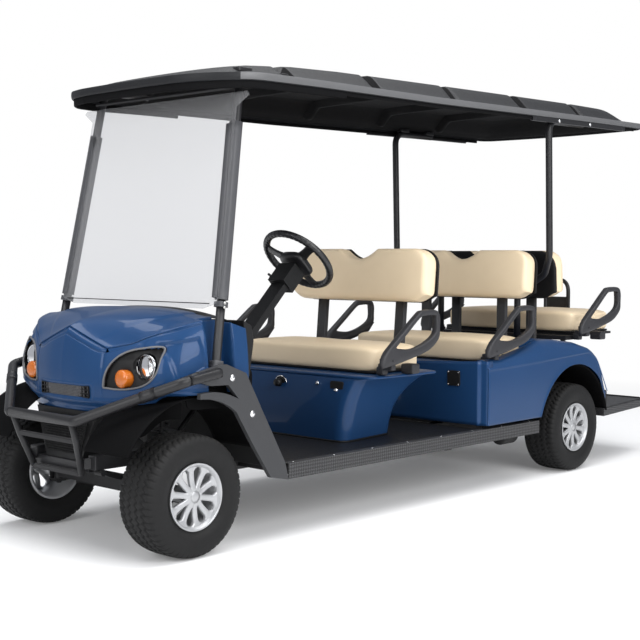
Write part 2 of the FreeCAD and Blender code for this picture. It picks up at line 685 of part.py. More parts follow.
# Seats
def tray(x, y, z, wall):
    """A tapered box without a bottom: x, y and z give its low and high outline, from a flared loft."""
    def shell(inset, lift):
        rings = []
        for index in (0, 1):
            low_x, high_x = (value_of(number) for number in x[index])
            half = value_of(y[index]) - inset
            height = value_of(z[index]) + (lift if index else -lift)
            corners = [Vector(low_x + inset, -half, height), Vector(high_x - inset, -half, height),
                       Vector(high_x - inset, half, height), Vector(low_x + inset, half, height)]
            rings.append(Part.makePolygon(corners + corners[:1]))
        return Part.makeLoft(rings, True, True)
    outer = shell(0, 0)
    inner = shell(value_of(wall), -value_of(wall))
    below = shell(value_of(wall), 0)
    cavity = inner.fuse(below.common(block_shape((-1e4, 1e4), (-1e4, 1e4), (0, z[0] + 20))))
    return outer.cut(cavity)


def front_seat_pod():
    """The seat box that narrows to the floor, with a ledge round its top and an opening below the lid."""
    low_x = (front_axle - s.pod_front - s.pod_length, front_axle - s.pod_front)
    top_x = (front_axle - s.pod_top_front - s.pod_top_length, front_axle - s.pod_top_front)
    shell = tray((low_x, top_x), (s.pod_low_half_width, s.pod_top_half_width),
                 (s.floor_top, s.pod_top), s.pod_wall)
    ledge_x = (front_axle - s.ledge_front - s.ledge_length, front_axle - s.ledge_front)
    ledge = block_shape(ledge_x, (-s.ledge_half_width, s.ledge_half_width),
                        (s.pod_top - s.ledge_thickness, s.pod_top))
    lid_front = front_axle - s.seat_set_back - s.cushion_round
    hole = block_shape((lid_front - s.lid_opening_length, lid_front),
                       (-s.lid_opening_half_width, s.lid_opening_half_width),
                       (s.pod_top - 100, s.pod_top + 1))
    corners = [edge for edge in ledge.Edges if edge.BoundBox.ZLength > 1]
    ledge = ledge.makeFillet(value_of(s.cushion_round), corners)
    shape_node("front_seat_pod", shell.fuse(ledge).cut(hole))


def cushion(name, back_x, length, low):
    """A seat cushion as a plain rounded pad."""
    body = new_body(f"{name}_body")
    pad(body, "XY_Plane", f"{name}_pad", [
        (back_x, -s.cushion_half_width), (back_x + length, -s.cushion_half_width),
        (back_x + length, s.cushion_half_width), (back_x, s.cushion_half_width)],
        low, low + s.cushion_height)
    sides = chamfer(body, body.Tip, f"{name}_corners", s.cushion_round, runs_along(2))
    top = low + s.cushion_height
    chamfer(body, sides, f"{name}_top", s.cushion_round * 0.6,
            lambda edge: edge.BoundBox.ZMin > value_of(top) - 0.01)
    return keep(name, body)


# How far the middle of a quarter-round corner lies in from each of its sides, as a share of its radius
ROUND_MIDDLE = 1 - math.sqrt(0.5)


def back_outline(margin):
    """The front view of a seat back: two rounded humps with a dip between them."""
    half = s.back_half_width + margin
    low, high, dip = s.back_low - margin, s.back_high + margin, s.back_dip + margin
    corner = s.back_corner
    notch = s.back_dip_half_width
    return [
        (-half, low), (half, low), (half, high - corner),
        (half - corner, high, half - ROUND_MIDDLE * corner, high - ROUND_MIDDLE * corner),
        (2.4 * notch, high), (-2.4 * notch, high, 0, dip),
        (-half + corner, high),
        (-half, high - corner, -half + ROUND_MIDDLE * corner, high - ROUND_MIDDLE * corner),
    ]


def seat_back(name, front_x, facing):
    """A seat back, upright about its front lower edge before it is tilted."""
    body = new_body(f"{name}_body")
    outline = [shifted(entry) for entry in back_outline(0)]
    low, high = (-s.back_thickness, 0) if facing > 0 else (0, s.back_thickness)
    pad(body, "YZ_Plane", f"{name}_pad", outline, low, high)
    face = 0.0
    chamfer(body, body.Tip, f"{name}_round", s.back_round,
            lambda edge: abs(edge.BoundBox.XMax - face) < 0.01 and abs(edge.BoundBox.XMin - face) < 0.01)
    place(body, front_x, 0, s.back_low, (0, 1, 0), -facing * s.back_tilt)
    return keep(name, body)


def shifted(entry):
    """An outline entry of a seat back measured from its lower edge."""
    moved = (entry[0], entry[1] - s.back_low)
    if len(entry) > 2:
        moved += (entry[2], entry[3] - s.back_low)
    return moved


def back_shell(name, front_x, facing):
    """The moulded panel behind a seat back, face to face with it."""
    body = new_body(f"{name}_body")
    near = s.back_thickness + s.fit_gap
    far = near + s.shell_thickness
    low, high = (-far, -near) if facing > 0 else (near, far)
    pad(body, "YZ_Plane", f"{name}_panel", [shifted(entry) for entry in back_outline(s.shell_margin)],
        low, high)
    place(body, front_x, 0, s.back_low, (0, 1, 0), -facing * s.back_tilt)
    return body


def uprights(name, x, low):
    """The two flat bars below a seat back."""
    half = s.upright_thickness / 2
    tilt_sink = math.sin(math.radians(SIZES["back_tilt"]))
    top = s.back_low - (s.back_thickness / 2 + half) * tilt_sink - s.fit_gap
    left = box(f"{name}_left", (x - half, x + half),
               (s.upright_half_track - s.upright_width / 2, s.upright_half_track + s.upright_width / 2),
               (low, top))
    return [left, mirror(f"{name}_right", left)]


def seats():
    """Three cushions, three backs with their shells, and the bars that carry the backs."""
    lid = s.pod_top + s.lid_gap
    front_edge = front_axle - s.seat_set_back
    middle_edge = rear_axle + s.middle_seat_lead
    rear_edge = rear_axle - s.rear_bench_set
    cushion("front_seat_cushion", front_edge - s.cushion_length, s.cushion_length, lid)
    cushion("middle_seat_cushion", middle_edge - s.cushion_length, s.cushion_length, lid)
    cushion("rear_seat_cushion", rear_edge - s.rear_cushion_length, s.rear_cushion_length,
            lid + s.rear_bench_rise)
    front_back = front_edge - s.back_set
    middle_back = middle_edge - s.back_set
    rear_back = rear_axle - s.rear_back_set
    seat_back("front_seatback", front_back, 1)
    seat_back("middle_seatback", middle_back, 1)
    seat_back("rear_seatback", rear_back, -1)
    keep("seatback_shells", fuse("shells", [
        back_shell("front_shell", front_back, 1), back_shell("middle_shell", middle_back, 1),
        back_shell("rear_shell", rear_back, -1)]))
    half = s.back_thickness / 2
    bars = uprights("front_upright", front_back - half, s.pod_top)
    bars += uprights("middle_upright", middle_back - half, s.body_hump)
    bars += uprights("rear_upright", rear_back + half, s.body_rear_seat)
    keep("seatback_supports", fuse("supports", bars))


# An armrest's side view: how far back from its front end, and how far above its seat's deck
ARMREST_OUTSIDE = ((0, 38), (0, 72), (32, 118), (268, 292), (306, 308), (408, 308), (440, 276), (440, 178),
                   (414, 146), (350, 108), (240, 80), (110, 54))
ARMREST_INSIDE = ((96, 132), (278, 268), (322, 280), (398, 280), (408, 262), (404, 196), (330, 152),
                  (220, 124))


def armrest(name, front_x, low):
    """A hip restraint: a loop that rises to the back from a boat-shaped base, on an inboard foot."""
    body = new_body(f"{name}_body")
    inner = armrest_outer - s.armrest_width
    pad(body, "XZ_Plane", f"{name}_loop", [(front_x - back, low + up) for back, up in ARMREST_OUTSIDE],
        inner, armrest_outer)
    pocket(body, "XZ_Plane", f"{name}_gap", [(front_x - back, low + up) for back, up in ARMREST_INSIDE])
    span = (front_x - s.armrest_foot_length, front_x - s.armrest_foot_front)
    foot = box(f"{name}_foot", span, (s.armrest_foot_inner, s.armrest_foot_outer),
               (low, low + s.armrest_foot_height))
    bridge = box(f"{name}_bridge", span, (s.armrest_foot_inner, inner + s.armrest_lap),
                 (low + s.armrest_bridge_low, low + s.armrest_foot_height))
    return fuse(f"{name}_left", [body, foot, bridge])


def armrests():
    """A hip restraint at each end of each seat."""
    lefts = [
        armrest("front_armrest", front_axle - s.seat_set_back + s.armrest_lead, s.pod_top + s.fit_gap),
        armrest("middle_armrest", rear_axle + s.middle_seat_lead + s.middle_armrest_lead,
                s.body_deck + s.fit_gap),
        armrest("rear_armrest", rear_axle - s.rear_bench_set + s.rear_armrest_lead,
                s.pod_top + s.lid_gap + s.rear_bench_rise - s.bench_plate - s.tongue_depth),
    ]
    others = [mirror(f"{left.Name}_right", left) for left in lefts]
    keep("armrests", fuse("armrests_joined", lefts + others))


# Rear body, engine, bench frame, hoop and step
# The rear body's top edge seen from the side, from front to back: place ahead of the rear axle, height,
# and how much of the wall's thickness is taken off lengthways
BODY_TOP = ((760, 690, 0), (470, 744, 0), (370, 770, 0), (220, 770, 0), (0, 744, 0), (-160, 700, 0.3),
            (-235, 620, 0.8), (-296, 507, 1))


def body_top(x):
    """The height of the rear body's top edge at a place ahead of the rear axle."""
    for (near, high, _), (far, low, _) in zip(BODY_TOP, BODY_TOP[1:]):
        if far <= x <= near:
            return low + (high - low) * (x - far) / (near - far)
    raise ValueError(f"{x} is outside the rear body's top edge")


def rear_body():
    """The rear body shell with its wheel arches, engine bay opening and stepped front corners."""
    front = rear_axle + s.body_front_lead
    rear = rear_axle - s.body_rear_reach
    low = s.body_low
    arch_front = rear_axle + s.arch_radius + 75
    arch_rear = rear_axle - s.arch_radius + 50
    arch_top = axle_height + s.arch_radius + s.arch_rise

    def solid(inset, drop):
        outline = [(front - inset, low - drop), (front - inset, s.body_shoulder - inset)]
        outline += [(rear_axle + x + inset * lean, z - inset) for x, z, lean in BODY_TOP]
        outline += [(rear + inset, s.body_rear_top - inset), (rear + inset, low - drop)]
        corners = [Vector(value_of(u), 0, value_of(v)) for u, v in outline]
        face = Part.Face(Part.makePolygon(corners + corners[:1]))
        half = value_of(s.body_half_width) - inset
        face.translate(Vector(0, -half, 0))
        return face.extrude(Vector(0, 2 * half, 0))

    wall = value_of(s.body_wall)
    outer = solid(0, 0)
    inner = solid(wall, 60)
    arch_points = [Vector(value_of(u), 0, value_of(v)) for u, v in (
        (arch_front, low - 1), (rear_axle, arch_top), (arch_rear - 40, low + 60))]
    arc = Part.Arc(*arch_points).toShape()
    close = Part.makePolygon([arch_points[2], Vector(value_of(rear) - 100, 0, value_of(low) + 60),
                              Vector(value_of(rear) - 100, 0, 0), Vector(arch_points[0].x, 0, 0),
                              arch_points[0]])
    arch_face = Part.Face(Part.Wire([arc] + close.Edges))
    reach = 2 * value_of(s.body_half_width)
    arch_face.translate(Vector(0, -reach / 2, 0))
    arch = arch_face.extrude(Vector(0, reach, 0))
    recess_back = rear_axle + s.seat_recess_back
    for grow in (0, wall):
        half = value_of(s.seat_recess_half_width) + grow
        seat_room = block_shape((recess_back - grow, front + 10), (-half, half), (s.body_deck - grow, 1e3))
        if grow:
            inner = inner.cut(seat_room)
        else:
            outer = outer.cut(seat_room)
    step = value_of(s.body_step)
    edge_y = value_of(s.body_half_width) - value_of(s.body_step_width)
    corner = block_shape((front - step, front + 10), (edge_y, s.body_half_width + 10), (0, s.body_hump))
    inner_corner = block_shape((front - step - wall, front + 10), (edge_y - wall, s.body_half_width + 10),
                               (0, s.body_hump))
    outer = outer.cut(corner).cut(mirrored(corner))
    inner = inner.cut(inner_corner).cut(mirrored(inner_corner))
    bay_front = rear_axle + s.middle_seat_lead - s.cushion_round
    bay = block_shape((bay_front - s.bay_length, bay_front), (-s.bay_half_width, s.bay_half_width),
                      (s.body_deck - 30, s.body_deck + 1))
    shape_node("rear_body", outer.cut(inner).cut(arch).cut(bay))


def powertrain():
    """The engine and gearbox as one block on the crossbars, ahead of the rear axle."""
    back = rear_axle + s.kick_rear_start - 20
    keep("powertrain", box("powertrain_block", (back, back + s.engine_length),
                           (-s.engine_half_width, s.engine_half_width),
                           (s.crossbar_high + s.fit_gap, s.crossbar_high + s.engine_height)))


def bench_frame():
    """The plate below the rear cushion, on two legs that stand on the step."""
    front = rear_axle - s.rear_bench_set
    back = front - s.rear_cushion_length
    top = s.pod_top + s.lid_gap + s.rear_bench_rise - s.fit_gap
    low = top - s.bench_plate
    x = rear_axle - s.step_front_reach - s.bench_leg_reach / 2
    foot_top = s.step_top + s.bench_foot_height + s.fit_gap
    leg = rod("bench_leg", s.bench_leg_radius, low + s.overlap - foot_top, x, s.bench_leg_half_track,
              foot_top)
    arm = box("hoop_arm", (rear_axle - s.hoop_reach - s.hoop_arm_lap, back + s.hoop_arm_lap),
              (-s.hoop_arm_half_width, s.hoop_arm_half_width), (low, low + s.hoop_arm_thickness))
    reach = s.armrest_foot_inner - s.fit_gap
    plate = box("bench_plate", (back + s.bench_inset, front - s.bench_inset), (-reach, reach), (low, top))
    tongue = box("bench_tongue", (front - 2 * s.bench_inset, rear_axle - s.tongue_reach), (-reach, reach),
                 (low - s.tongue_depth, low + s.tongue_lap))
    keep("rear_seat_frame", fuse("bench_joined", [plate, tongue, arm, leg, mirror("bench_leg_right", leg)]))


def grab_hoop():
    """The hoop of tube behind the bench, with a blank plate between its legs."""
    x = rear_axle - s.hoop_reach
    low = s.pod_top + s.lid_gap + s.rear_bench_rise - s.fit_gap - s.bench_plate + s.hoop_arm_thickness
    half = s.hoop_half_width
    hoop = tube_shape([(x, -half, low + s.fit_gap), (x, -half, s.hoop_top - s.hoop_radius),
                       (x, half, s.hoop_top - s.hoop_radius), (x, half, low + s.fit_gap)],
                      s.hoop_radius, s.hoop_bend)
    plate = block_shape((x - s.hoop_plate_thickness / 2, x + s.hoop_plate_thickness / 2), (-half, half),
                        (s.hoop_plate_low, s.hoop_plate_high))
    shape_node("grab_hoop", hoop.fuse(plate))


def rear_step():
    """The footrest deck behind the cart, with ears beside the body's rear end."""
    front = rear_axle - s.step_front_reach
    back = rear_axle - s.rear_overhang
    body = new_body("step_body")
    pad(body, "XY_Plane", "step_deck", [
        (back, -s.step_half_width), (front, -s.step_front_half_width), (front, s.step_front_half_width),
        (back, s.step_half_width)], s.step_top - s.step_thickness, s.step_top)
    fillet(body, body.Tip, "step_corners", s.step_corner,
           lambda edge: runs_along(2)(edge) and edge.BoundBox.XMax < value_of(back) + 1)
    leg_x = front - s.bench_leg_reach / 2
    foot = box("bench_foot", (leg_x - s.bench_foot, leg_x + s.bench_foot),
               (s.bench_leg_half_track - s.bench_foot, s.bench_leg_half_track + s.bench_foot),
               (s.step_top - s.overlap, s.step_top + s.bench_foot_height))
    ear = box("step_ear", (front - s.step_ear_length, rear_axle - s.body_rear_reach - s.fit_gap),
              (s.step_half_width - s.step_ear_thickness, s.step_half_width),
              (s.step_top - s.overlap, s.step_top + s.step_ear_height))
    bracket = box("step_bracket", (rear_axle - s.rail_rear_reach, front),
                  (s.rail_half_track - s.rail_width / 2, s.rail_half_track + s.rail_width / 2),
                  (s.step_top - s.overlap, s.kick_low))
    keep("rear_step", fuse("step_joined", [body, ear, mirror("step_ear_right", ear), bracket,
                                           mirror("step_bracket_right", bracket), foot,
                                           mirror("bench_foot_right", foot)]))


# Side braces, struts, canopy and windscreen
def side_braces():
    """The pressed side plates that tie the front of the body to the sills, with a slot below the arm."""
    body = new_body("brace_body")
    x = front_axle
    pad(body, "XZ_Plane", "brace_plate", [
        (x + 4, 724), (x + 4, 762), (x - 112, 786), (x - 150, 787), (x - 261, 744), (x - 354, 580),
        (x - 493, 341), (x - 515, s.rocker_low), (x - 405, s.rocker_low + 22), (x - 284, 460),
        (x - 204, 585), (x - 6, 652, x - 110, 636), (x - 6, 676), (x - 215, 640, x - 110, 674),
        (x - 159, 701), (x - 60, 704)],
        brace_outer - s.brace_width, brace_outer)
    pair("side_braces", body)


def strut_line(height):
    """The front strut's centre at a height: it leans back and inwards."""
    rise = height - s.strut_foot_z
    run = (s.strut_top_x - s.strut_foot_x) / (s.strut_top_z - s.strut_foot_z)
    foot_y = brace_outer - s.brace_width - s.strut_radius - s.fit_gap
    inward = (foot_y - s.strut_top_half_track) / (s.strut_top_z - s.strut_foot_z)
    return (front_axle - s.strut_foot_x - rise * run, foot_y - rise * inward, height)


def roof_height(height, x):
    """A height at the canopy's front edge, carried back along its pitch to a place along the cart."""
    back = front_axle - s.canopy_front - x
    return height + math.tan(math.radians(SIZES["canopy_pitch"])) * back


def canopy_struts():
    """Two leaning front struts and two cranked rear struts; each ends in a rail below the canopy."""
    rail_z = s.canopy_crown - s.canopy_wall - s.canopy_rib - s.strut_radius - s.fit_gap
    rear_z = s.canopy_pad_low - s.strut_radius - s.fit_gap
    foot = strut_line(s.strut_foot_z)
    top = strut_line(roof_height(rail_z, strut_line(rail_z)[0]))
    rail_end = top[0] - s.front_rail_length
    front = tube_shape([foot, top, (rail_end, top[1], roof_height(rail_z, rail_end))],
                       s.strut_radius, s.strut_bend)
    x = rear_axle + s.rear_strut_set
    leg_x = rear_axle + s.rear_strut_leg_x
    leg_y = s.rear_strut_leg_half_track
    out_y = s.rear_strut_half_track
    leg_foot = body_top(SIZES["rear_strut_leg_x"] + SIZES["strut_radius"] / math.cos(math.pi / TUBE_FLATS))
    top_x, end_x = x + 25, x - s.rear_rail_length
    rear = tube_shape([
        (end_x, out_y, roof_height(rear_z, end_x)), (top_x, out_y, roof_height(rear_z, top_x)),
        (x, out_y, s.rear_strut_knee), (leg_x, s.rear_strut_elbow_half_track, s.rear_strut_elbow),
        (leg_x, leg_y, s.rear_strut_leg_top), (leg_x, leg_y, leg_foot + s.fit_gap)],
        s.strut_radius, s.strut_bend)
    shapes = [front, mirrored(front), rear, mirrored(rear)]
    shape_node("canopy_struts", Part.makeCompound(shapes))


def canopy_ring(inset, height):
    """The canopy's outline at a height: a straight front edge, round shoulders and a bowed rear edge."""
    front = value_of(front_axle - s.canopy_front) - inset
    rear = value_of(front_axle - s.canopy_rear) + inset
    tail = value_of(s.canopy_rear_bow)
    shoulder = value_of(s.canopy_shoulder)
    y = value_of(s.canopy_half_width) - inset
    near = value_of(s.canopy_front_half_width) - inset
    far = y - 90
    z = value_of(height)

    wide = y - near
    left = [(front, near), (front - 0.07 * shoulder, near + 0.35 * wide),
            (front - 0.27 * shoulder, near + 0.7 * wide),
            (front - 0.55 * shoulder, near + 0.91 * wide), (front - shoulder, y), (rear + 90, y),
            (rear + 35, y - 25), (rear, far), (rear - 0.75 * tail, far / 2)]
    right = [(x, -across) for x, across in reversed(left)]
    corners = [Vector(x, across, z) for x, across in left + [(rear - tail, 0)] + right]
    return Part.makePolygon(corners + corners[:1])


def canopy():
    """The moulded roof: a hollow tray with a gutter, raised blocks between cross channels, and ribs."""
    slope = value_of(s.canopy_side_slope)

    def hull(inset, drop):
        levels = [(inset + 6, s.canopy_low - drop), (inset, s.canopy_edge - inset * 0.3),
                  (inset + 14, s.canopy_gutter - inset), (inset + slope, s.canopy_crown - inset)]
        return Part.makeLoft([canopy_ring(gap, height) for gap, height in levels], True, True)

    wall = value_of(s.canopy_wall)
    outer = hull(0, 0)
    inner = hull(wall, 20)
    count = int(SIZES["canopy_blocks"])
    first = front_axle - s.canopy_front - 280
    last = front_axle - s.canopy_rear + 160
    pitch = (first - last) / count
    top = s.canopy_crown + s.canopy_block_height
    half = s.canopy_half_width - slope - 20
    blocks = []
    for index in range(count):
        start = first - index * pitch
        block = block_shape((start - pitch + s.canopy_channel, start), (-half, half),
                            (s.canopy_crown - 2, top))
        edges = [edge for edge in block.Edges if edge.BoundBox.ZMin > value_of(top) - 0.01]
        blocks.append(block.makeChamfer(value_of(s.canopy_block_height) * 0.8, edges))
    ribs = []
    rib_low = s.canopy_crown - s.canopy_wall - s.canopy_rib
    for index in range(count + 1):
        x = first - index * pitch + s.canopy_channel / 2
        rib = block_shape((x - s.canopy_channel / 2, x + s.canopy_channel / 2),
                          (-s.canopy_half_width, s.canopy_half_width), (rib_low, s.canopy_crown))
        ribs.append(rib.common(outer))
    pad_front = rear_axle + s.rear_strut_set - s.strut_bend
    mount_pad = block_shape((pad_front - s.rear_rail_length + 80, pad_front),
                            (s.rear_strut_half_track - 12, s.rear_strut_half_track + 12),
                            (s.canopy_pad_low, s.canopy_gutter + 20)).common(outer)
    ribs += [mount_pad, mirrored(mount_pad)]
    level = outer.cut(inner).multiFuse(blocks + ribs)
    pivot = Vector(value_of(front_axle - s.canopy_front), 0, 0)
    shape_node("canopy", level.rotate(pivot, Vector(0, 1, 0), SIZES["canopy_pitch"]))


def windscreen():
    """The clear screen in front of the struts, with cut corners below and ears below the canopy."""
    body = new_body("screen_body")
    pivot_z = s.screen_low
    rise = s.screen_high - pivot_z
    side_top = rise - 60
    pad(body, "YZ_Plane", "screen_pane", [
        (s.screen_low_half_width, 0), (s.screen_half_width - 10, 24), (s.screen_half_width, 60),
        (s.screen_top_half_width + 4, side_top), (s.screen_ear_half_width, rise - 15),
        (s.screen_ear_half_width - 15, rise), (-s.screen_ear_half_width + 15, rise),
        (-s.screen_ear_half_width, rise - 15), (-s.screen_top_half_width - 4, side_top),
        (-s.screen_half_width, 60), (-s.screen_half_width + 10, 24), (-s.screen_low_half_width, 0)],
        0, s.screen_thickness)
    run = (s.strut_top_x - s.strut_foot_x) / (s.strut_top_z - s.strut_foot_z)
    lean = math.atan(run.value)
    x = strut_line(pivot_z)[0] + (s.strut_radius + s.fit_gap) / math.cos(lean)
    tilt = math.degrees(lean)
    place(body, x, 0, pivot_z, (0, 1, 0), -tilt)
    keep("windscreen", body)


# Front body
def smooth(pairs, x):
    """A value between listed (place, value) pairs, along a natural curve through them."""
    curve = Part.BSplineCurve()
    curve.interpolate([Vector(place_x, value, 0) for place_x, value in pairs])
    low, high = curve.FirstParameter, curve.LastParameter
    for _ in range(40):
        middle = (low + high) / 2
        if curve.value(middle).x < x:
            low = middle
        else:
            high = middle
    return curve.value(low).y


# Half outlines of the front body seen from above, at heights: forward of the axle, and across.
# The last two entries of each are its straight flank.
PLAN = {
    585: ((230, 0), (224, 100), (204, 200), (178, 280), (148, 355), (120, 415), (84, 470), (24, 530),
          (-90, 568), (-300, 572)),
    690: ((238, 0), (232, 100), (211, 200), (185, 285), (158, 360), (134, 425), (98, 480), (30, 542),
          (-90, 575), (-300, 575)),
    800: ((236, 0), (230, 100), (206, 200), (176, 290), (146, 380), (122, 460), (82, 528), (5, 564),
          (-100, 573), (-300, 573)),
    920: ((212, 0), (200, 100), (172, 200), (132, 290), (88, 380), (48, 450), (0, 508), (-65, 545),
          (-140, 557), (-300, 557)),
    1030: ((165, 0), (150, 100), (110, 200), (60, 290), (10, 380), (-40, 440), (-90, 490), (-150, 520),
           (-200, 530), (-300, 530)),
}
# Where the hood's height is taken: along the cart and across it, and how low its solid reaches
HOOD_ALONG = (-340, -270, -200, -120, -50, 20, 90, 150, 200, 260, 320)
HOOD_ACROSS = (-620, -540, -460, -380, -300, -220, -110, 0, 110, 220, 300, 380, 460, 540, 620)
HOOD_FOOT = 300
# Height of the hood's middle, and how fast it falls to the sides, along the cart
HOOD_DEEPEST = 420
HOOD_MIDDLE = ((-340, 1001), (-300, 1003), (-200, 1004), (-100, 998), (0, 988), (100, 966), (200, 930),
               (320, 862))
HOOD_FALL = ((-340, 0.20), (-300, 0.17), (-200, 0.09), (-100, 0.10), (0, 0.21), (100, 0.60), (200, 1.75),
             (320, 3.0))


def soft_drop(drop):
    """A fall that levels out below the hood's reach."""
    return HOOD_DEEPEST * (1 - math.exp(-drop / HOOD_DEEPEST))


def cowl_hull(inset):
    """The front body as a solid, drawn in by an inset: plan outlines lofted upwards below the hood."""
    origin = value_of(front_axle)
    rings = []
    for height, half_outline in PLAN.items():
        left = [Vector(origin + x - (inset if x > -299 else 2 * inset), max(y - inset, 0), height)
                for x, y in half_outline]
        right = [Vector(spot.x, -spot.y, spot.z) for spot in reversed(left[1:])]
        rings.append(Part.makePolygon(right + left + right[:1]))
    walls = Part.makeLoft(rings, True, True)
    strips = []
    for y in HOOD_ACROSS:
        strip = [Vector(origin + x, y, smooth(HOOD_MIDDLE, x) - inset
                        - soft_drop(smooth(HOOD_FALL, x) * y * y / 1000))
                 for x in HOOD_ALONG]
        strip += [Vector(strip[-1].x, y, HOOD_FOOT), Vector(strip[0].x, y, HOOD_FOOT)]
        strips.append(Part.makePolygon(strip + strip[:1]))
    return walls.common(Part.makeLoft(strips, True, True))


def nose_wedge(shift_x, shift_z):
    """What is cut off above the nose panel: a prism over two planes that rise to the hood's point."""
    origin = value_of(front_axle) + shift_x
    apex, slope, side_slope = (196, 905), -1.17, -0.36

    def prism(way):
        plan = ((apex[0], 0), (176, 262 * way), (330, 262 * way), (330, 0))
        corners = [Vector(origin + x, y, apex[1] + slope * (x - apex[0]) + side_slope * abs(y) + shift_z)
                   for x, y in plan]
        return Part.Face(Part.makePolygon(corners + corners[:1])).extrude(Vector(0, 0, 420))
    return prism(1).fuse(prism(-1))


def lamp_prism(gap):
    """The leaf-shaped opening of a headlamp, as a bar along the cart drawn in by a gap."""
    edge = ((236, 690), (240, 730), (254, 770), (280, 806), (318, 834), (372, 852), (474, 862), (480, 815),
            (476, 770), (460, 735), (427, 708), (378, 693), (310, 686))
    middle_y, middle_z = 378, 770
    corners = []
    for y, z in edge:
        away = Vector(0, y - middle_y, z - middle_z)
        away = away * (1 - gap / away.Length)
        corners.append(Vector(value_of(front_axle), middle_y, middle_z) + away)
    face = Part.Face(Part.makePolygon(corners + corners[:1]))
    return face.extrude(Vector(400, 0, 0))


def front_cowl():
    """The front body shell: nose panel, hood, lamp openings, a notch for each strut, open below."""
    wall = value_of(s.cowl_wall)
    x = front_axle
    outer = cowl_hull(0).cut(nose_wedge(0, 0))
    inner = cowl_hull(wall).cut(nose_wedge(-2.2 * wall, -1.6 * wall))
    inside = s.cowl_half_width - s.notch_depth
    for grow, name in ((0, "outer"), (wall, "inner")):
        notch = block_shape((x - s.notch_back - grow, x - s.notch_front + grow), (inside - grow, 700),
                            (500, 1100))
        if name == "outer":
            outer = outer.cut(notch).cut(mirrored(notch))
        else:
            inner = inner.cut(notch).cut(mirrored(notch))
    lowest = inner.common(block_shape((0, 1e4), (-1e3, 1e3), (0, 600)))
    inner = inner.fuse(lowest.translated(Vector(0, 0, -20)))
    lip = Part.makePolygon([Vector(0, 300, 500), Vector(0, 300, 600), Vector(0, 420, s.cowl_side_low.value),
                            Vector(0, 700, s.cowl_side_low.value), Vector(0, 700, 500), Vector(0, 300, 500)])
    arch = Part.Face(lip).extrude(Vector(2.5e3, 0, 0))
    side = block_shape((x - s.cowl_back - 20, x - s.notch_back + 1), (s.dash_half_width - 60, 700),
                       (500, 762))
    shell = outer.cut(inner).cut(arch).cut(mirrored(arch)).cut(side).cut(mirrored(side))
    opening = lamp_prism(0)
    grille = block_shape((x + 150, x + 300), (-s.grille_half_width, s.grille_half_width),
                         (s.grille_low, s.grille_high))
    shell = shell.cut(opening).cut(mirrored(opening)).cut(grille)
    solids = sorted(shell.Solids, key=lambda solid: solid.Volume)
    shape_node("front_cowl", solids[-1])


def lamp_places():
    """The middle of each headlamp and indicator: across, height, radius and how far it stands out."""
    return {"headlamps": (s.lamp_y, s.lamp_z, s.lamp_radius, s.lamp_reach),
            "indicators": (s.indicator_y, s.indicator_z, s.indicator_radius, s.indicator_reach)}


def lamps():
    """Black pockets in the lamp openings, and the round lamps seated in them."""
    recess = value_of(s.lamp_recess)
    gap = value_of(s.fit_gap)
    front_space = lamp_prism(gap).cut(cowl_hull(recess))
    flanged = cowl_hull(value_of(s.cowl_wall) + gap).cut(cowl_hull(recess + s.lamp_pocket_depth.value))
    tray_solid = flanged.common(lamp_prism(-value_of(s.lamp_flange))).cut(front_space)
    pocket_shape = max(tray_solid.Solids, key=lambda solid: solid.Volume)
    for name, (y, z, radius, reach) in lamp_places().items():
        base = Vector(value_of(front_axle + reach) - 75, value_of(y), value_of(z))
        bore = Part.makeCylinder(value_of(radius) + value_of(s.fit_gap), 300, base - Vector(100, 0, 0),
                                 Vector(1, 0, 0))
        pocket_shape = pocket_shape.cut(bore)
        rim = Part.makeCylinder(value_of(radius), value_of(s.lamp_depth), base, Vector(1, 0, 0))
        dome = Part.makeCone(value_of(radius), value_of(radius) * 0.6, value_of(s.lamp_dome),
                             base + Vector(value_of(s.lamp_depth), 0, 0), Vector(1, 0, 0))
        core = rim.fuse(dome)
        shape_node(name, Part.makeCompound([core, mirrored(core)]))
    pocket_shape = max(pocket_shape.Solids, key=lambda solid: solid.Volume)
    shape_node("headlamp_pockets", Part.makeCompound([pocket_shape, mirrored(pocket_shape)]))


def nose_grille():
    """The insert in the nose: a frame with upright and level bars."""
    gap = s.fit_gap
    half = s.grille_half_width - gap
    low, high = s.grille_low + gap, s.grille_high - gap
    front = front_axle + s.nose_x - 12
    depth = (front - s.grille_depth, front)
    columns, rows = int(SIZES["grille_columns"]), int(SIZES["grille_rows"])
    bar = s.grille_bar
    plate = block_shape(depth, (-half, half), (low, high))
    cell_width = (2 * half - bar) / columns
    cell_height = (high - low - bar) / rows
    for column in range(columns):
        for row in range(rows):
            y = -half + bar + column * cell_width
            z = low + bar + row * cell_height
            plate = plate.cut(block_shape((depth[0] - 1, depth[1] + 1), (y, y + cell_width - bar),
                                          (z, z + cell_height - bar)))
    shape_node("nose_grille", plate)


def dashboard():
    """The panel behind the hood, from side to side."""
    body = new_body("dash_body")
    back = front_axle - s.cowl_back - s.fit_gap
    low, high = s.dash_low, s.dash_high
    deep = s.dash_depth
    pad(body, "XZ_Plane", "dash_panel", [
        (back, low), (back, high), (back - deep * 0.8, high - 25), (back - deep, high - 90),
        (back - deep * 0.6, low)], -s.dash_half_width, s.dash_half_width)
    keep("dashboard", body)


